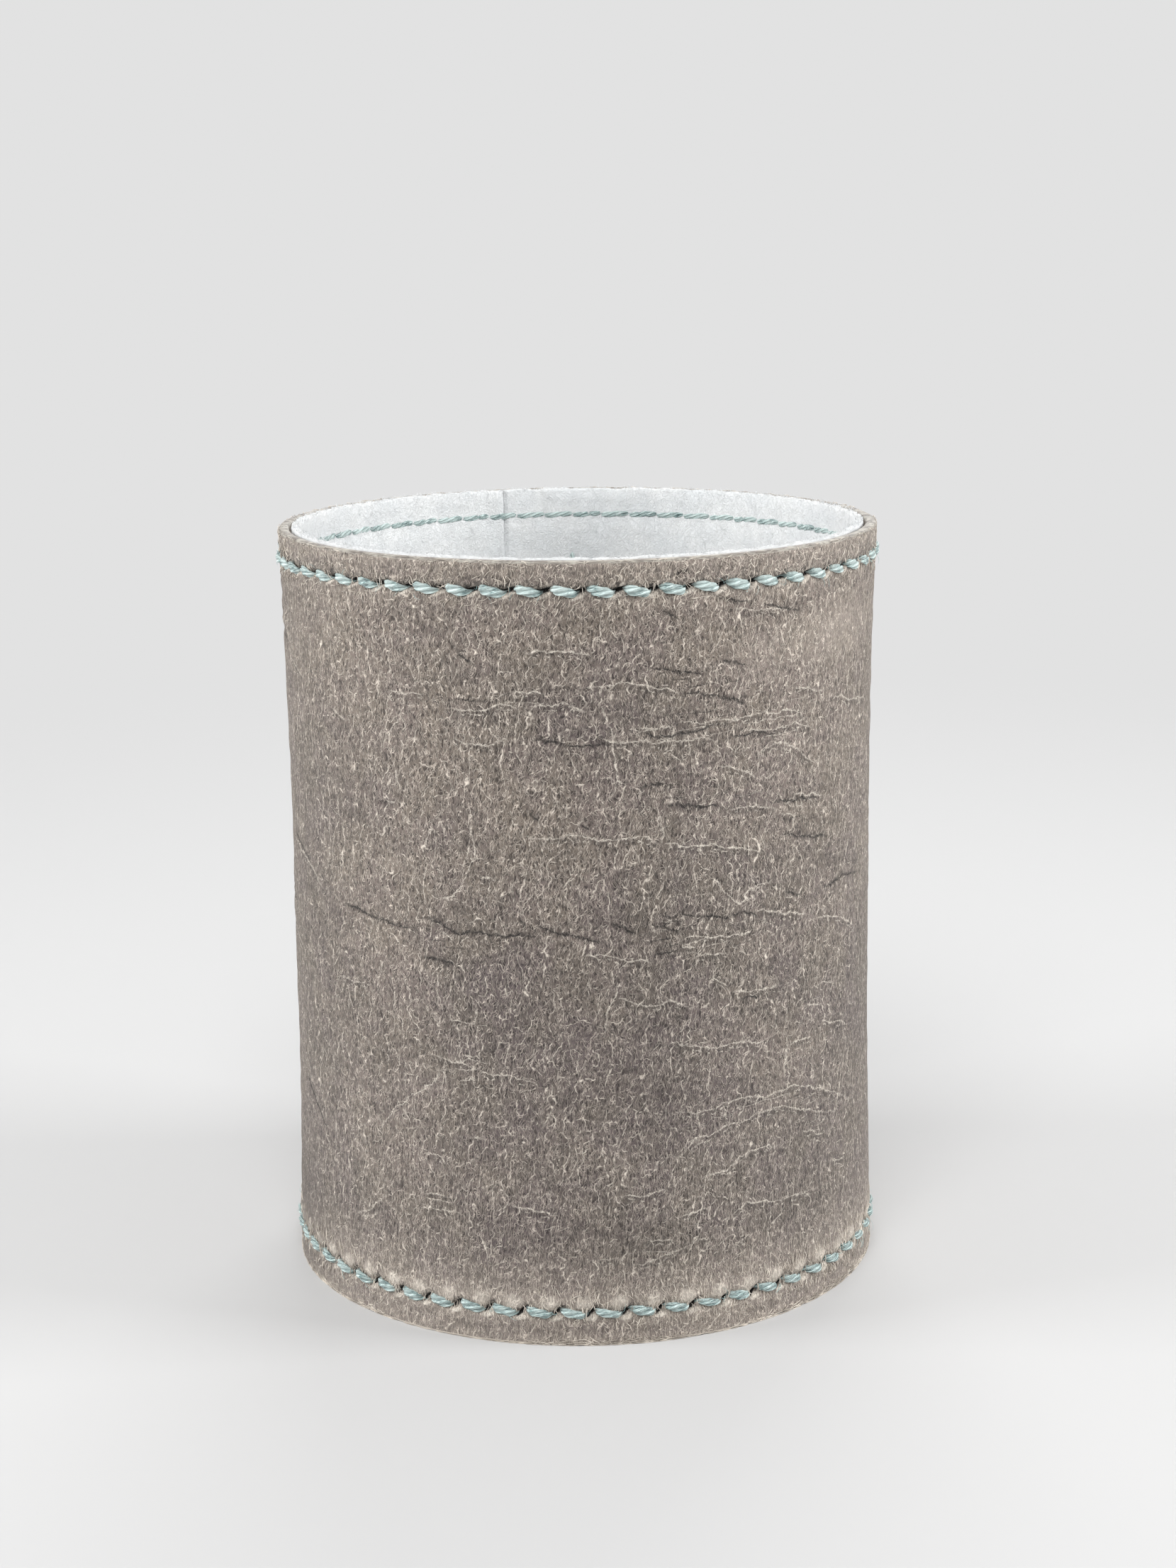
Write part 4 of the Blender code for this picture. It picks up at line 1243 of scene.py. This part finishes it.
# The pale patches are wear; their rise from the bottom row to the top row is painted light from above.
painted_top_light = recipe.between(high, BOTTOM_ROW / MM, TOP_ROW / MM, 0.35, 1.0)
wear_and_painted_light = recipe.times(recipe.between(wear_and_painted_light, 0.38, 0.60, 0.0, 0.75), painted_top_light)
thread_colour = recipe.mix(wear_and_painted_light, thread_colour, THREAD_PALE)
# Painted shade where the plies meet: each ply is darkened away from its crest.
crest = recipe.times_plus(filaments, 0.9, recipe.attribute("ply_crest"))
groove = recipe.between(crest, 0.70, 1.25, 0.50, 0.0)
thread_colour = recipe.mix(groove, thread_colour, THREAD_DARK)
recipe.relief(filaments, 0.12 * MM)
recipe.set(Base_Color=thread_colour, Roughness=0.42, Sheen_Weight=0.25)
for piece in threads:
    recipe.coat(piece)
print("made", recipe.material.name)

# %% [markdown]
# Rubbed hide, cut felt and thread all shed single fibres, and they catch the light at every edge.
# Each one is a thin three-sided tube that bends. Its path is set in the wall's own directions:
# along the strip, up the wall, and outwards from it. So thousands of them are worked out as one
# array.

# %% Helpers for fibres
FIBRE_RINGS = 5


def drift(rng, start, heading, length, lifts, curl):
    """Paths in wall coordinates (along, height, outwards, in mm) whose heading turns steadily.

    A path's steps have equal length, and each step's heading differs from the last by the same angle.
    The outward height goes through the three lifts: at the root, the middle and the tip.
    """
    t = np.linspace(0, 1, FIBRE_RINGS)
    turning = heading[:, None] + curl[:, None] * (t - 0.5)
    step = length[:, None] / (FIBRE_RINGS - 1)
    along = start[:, :1] + np.cumsum(np.cos(turning) * step, axis=1)
    height = start[:, 1:2] + np.cumsum(np.sin(turning) * step, axis=1)
    root, middle, tip = (lift[:, None] for lift in lifts)
    out = root * (1 - t) ** 2 + 2 * middle * t * (1 - t) + tip * t**2
    shake = rng.normal(0, 0.03, along.shape)
    return np.stack([along + shake, height, out], axis=-1)


def on_the_wall(paths):
    """Wall coordinates in mm to points in metres."""
    angle = BACK + paths[..., 0] * MM / PITCH * TURN
    height = paths[..., 1] * MM
    radius = WAIST_RADIUS + flare(height) + paths[..., 2] * MM
    return np.stack([radius * np.cos(angle), radius * np.sin(angle), height], axis=-1)


def tubes(name, centres, thickness, rng):
    """Thin three-sided tubes round many paths, as one mesh. The tubes taper towards both ends."""
    count, rings, _ = centres.shape
    tangent = np.gradient(centres, axis=1)
    tangent /= np.linalg.norm(tangent, axis=2, keepdims=True)
    side = np.cross(tangent, rng.normal(0, 1, (count, 1, 3)))
    side /= np.linalg.norm(side, axis=2, keepdims=True)
    other = np.cross(tangent, side)
    taper = np.array([0.7, 1.0, 1.0, 0.8, 0.3])[None, :, None] * thickness[:, None, None] / 2
    turns = 2 * np.pi * np.arange(3) / 3
    ring = [side * taper * np.cos(a) + other * taper * np.sin(a) for a in turns]
    points = centres[:, :, None] + np.stack(ring, axis=2)
    start = (np.arange(count) * rings * 3)[:, None, None]
    i, j = np.arange(rings - 1)[None, :, None], np.arange(3)[None, None, :]
    j_next = (j + 1) % 3
    ring, next_ring = start + i * 3, start + (i + 1) * 3
    quads = np.stack([ring + j, ring + j_next, next_ring + j_next, next_ring + j], axis=-1)
    ends = start[:, 0]
    first = np.concatenate([ends + 2, ends + 1, ends], axis=1)
    last = np.concatenate([ends, ends + 1, ends + 2], axis=1) + (rings - 1) * 3
    return make_mesh(name, points, quads.reshape(-1, 4).tolist() + first.tolist() + last.tolist())


def fibres_of(name, paths, thinnest, thickest):
    """One piece made of many fibres, whose thickness in mm varies between two limits."""
    thickness = chance.uniform(thinnest, thickest, len(paths)) * MM
    return tubes(name, on_the_wall(paths), thickness, chance)


# %% Fibres of the hide
chance = np.random.default_rng(31)
LENGTH_ROUND = STITCHES * PITCH / MM


def nap(count, height, height_spread, heading, heading_spread, length, lift, curl):
    """Fibres that lie on the hide near one height, anywhere round it."""
    along, up = chance.uniform(0, LENGTH_ROUND, count), chance.normal(height, height_spread, count)
    start = np.column_stack([along, np.clip(up, 0.15, HEIGHT / MM - 0.2)])
    headings = chance.normal(heading, heading_spread, count) + np.pi * chance.integers(0, 2, count)
    lengths = length * chance.uniform(0.5, 1.4, count)
    lifts = [0 * lengths - 0.06, lift * chance.uniform(0.4, 1.3, count), 0 * lengths - 0.02]
    return drift(chance, start, headings, lengths, lifts, chance.normal(0, curl, count))


top_mm, bottom_mm = TOP_ROW / MM, BOTTOM_ROW / MM
layers = [
    nap(1700, bottom_mm + 1.15, 0.45, np.pi / 2, 0.30, 1.3, 0.22, 0.7),
    nap(1100, bottom_mm - 0.90, 0.32, np.pi / 2, 0.35, 0.9, 0.20, 0.7),
    nap(800, top_mm - 0.95, 0.35, 0.9, 0.6, 1.0, 0.22, 1.3),
    nap(900, top_mm + 1.3, 0.60, np.pi / 2, 0.6, 1.1, 0.20, 1.7),
    nap(1500, 0.20, 0.10, 0.0, 0.30, 1.3, 0.12, 0.8),
    nap(350, HEIGHT / MM - 0.35, 0.12, 0.0, 0.4, 1.0, 0.10, 0.9),
]
nap_paths = np.vstack(layers)
nap_paths[..., 1] = np.clip(nap_paths[..., 1], 0.06, HEIGHT / MM - 0.02)
hide_nap = fibres_of("hide_nap", nap_paths, 0.06, 0.13)
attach(hide_nap, "root")

NAP_DULL = (0.44, 0.39, 0.335, 1)
NAP_PALE = (0.82, 0.75, 0.66, 1)
recipe = Recipe("hide_fibre")
tint = recipe.between(recipe.noise(recipe.position(), 0.5, 2.0), 0.35, 0.65)
recipe.set(Base_Color=recipe.mix(tint, NAP_DULL, NAP_PALE), Roughness=0.8)
recipe.coat(hide_nap)
print("fibres on the hide:", len(nap_paths))

# %% Fibres of the felt
chance = np.random.default_rng(37)
EDGE_FIBRES = 2300
WALL_FIBRES = 1000
felt_outside = (FELT_RADIUS - WAIST_RADIUS) / MM
felt_inside = (BORE_RADIUS - WAIST_RADIUS) / MM

edge_along = chance.uniform(0, LENGTH_ROUND, EDGE_FIBRES)
edge_start = np.column_stack([edge_along, FELT_TOP / MM - chance.uniform(0.02, 0.15, EDGE_FIBRES)])
edge_root = chance.uniform(felt_inside + 0.1, felt_outside - 0.1, EDGE_FIBRES)
edge_lean = chance.normal(0, 0.18, EDGE_FIBRES)
edge_paths = drift(
    chance,
    edge_start,
    chance.normal(np.pi / 2, 0.9, EDGE_FIBRES),
    chance.uniform(0.15, 0.6, EDGE_FIBRES),
    [edge_root, edge_root + edge_lean / 2, edge_root + edge_lean],
    chance.normal(0, 1.3, EDGE_FIBRES),
)
wall_along = chance.uniform(0, LENGTH_ROUND, WALL_FIBRES)
wall_up = chance.uniform(HEIGHT / MM * 0.4, HEIGHT / MM - 1, WALL_FIBRES)
wall_start = np.column_stack([wall_along, wall_up])
wall_lift = felt_inside + 0 * wall_start[:, 0]
wall_paths = drift(
    chance,
    wall_start,
    chance.uniform(0, 2 * np.pi, WALL_FIBRES),
    chance.uniform(0.6, 1.8, WALL_FIBRES),
    [wall_lift + 0.1, wall_lift - chance.uniform(0.1, 0.5, WALL_FIBRES), wall_lift + 0.1],
    chance.normal(0, 1.8, WALL_FIBRES),
)
fluff_paths = np.vstack([edge_paths, wall_paths])
felt_fluff = fibres_of("felt_fluff", fluff_paths, 0.03, 0.06)
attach(felt_fluff, "root")
felt_fluff.data.materials.append(felt.data.materials[0])
print("fibres on the felt:", len(fluff_paths))

# %% Fibres of the thread
chance = np.random.default_rng(41)
THREAD_HAIRS = 260
hair_row = np.where(chance.uniform(0, 1, THREAD_HAIRS) < 0.5, top_mm, bottom_mm)
hair_along = chance.uniform(0, LENGTH_ROUND, THREAD_HAIRS)
hair_start = np.column_stack([hair_along, hair_row + chance.normal(0, 0.25, THREAD_HAIRS)])
hair_heading = chance.uniform(0, 2 * np.pi, THREAD_HAIRS)
hair_length = chance.uniform(0.5, 1.6, THREAD_HAIRS)
hair_middle, hair_tip = chance.uniform(0.4, 0.9, THREAD_HAIRS), chance.uniform(0.2, 0.7, THREAD_HAIRS)
hair_lifts = [0 * hair_row + 0.2, hair_middle, hair_tip]
hair_curl = chance.normal(0, 2.0, THREAD_HAIRS)
hair_paths = drift(chance, hair_start, hair_heading, hair_length, hair_lifts, hair_curl)
thread_hairs = fibres_of("thread_hairs", hair_paths, 0.025, 0.05)
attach(thread_hairs, "root")

recipe = Recipe("thread_fibre")
tint = recipe.noise(recipe.position(), 0.8, 1.0)
recipe.set(Base_Color=recipe.mix(tint, (0.25, 0.48, 0.48, 1), (0.62, 0.80, 0.79, 1)), Roughness=0.5)
recipe.coat(thread_hairs)
print("hairs on the thread:", THREAD_HAIRS)
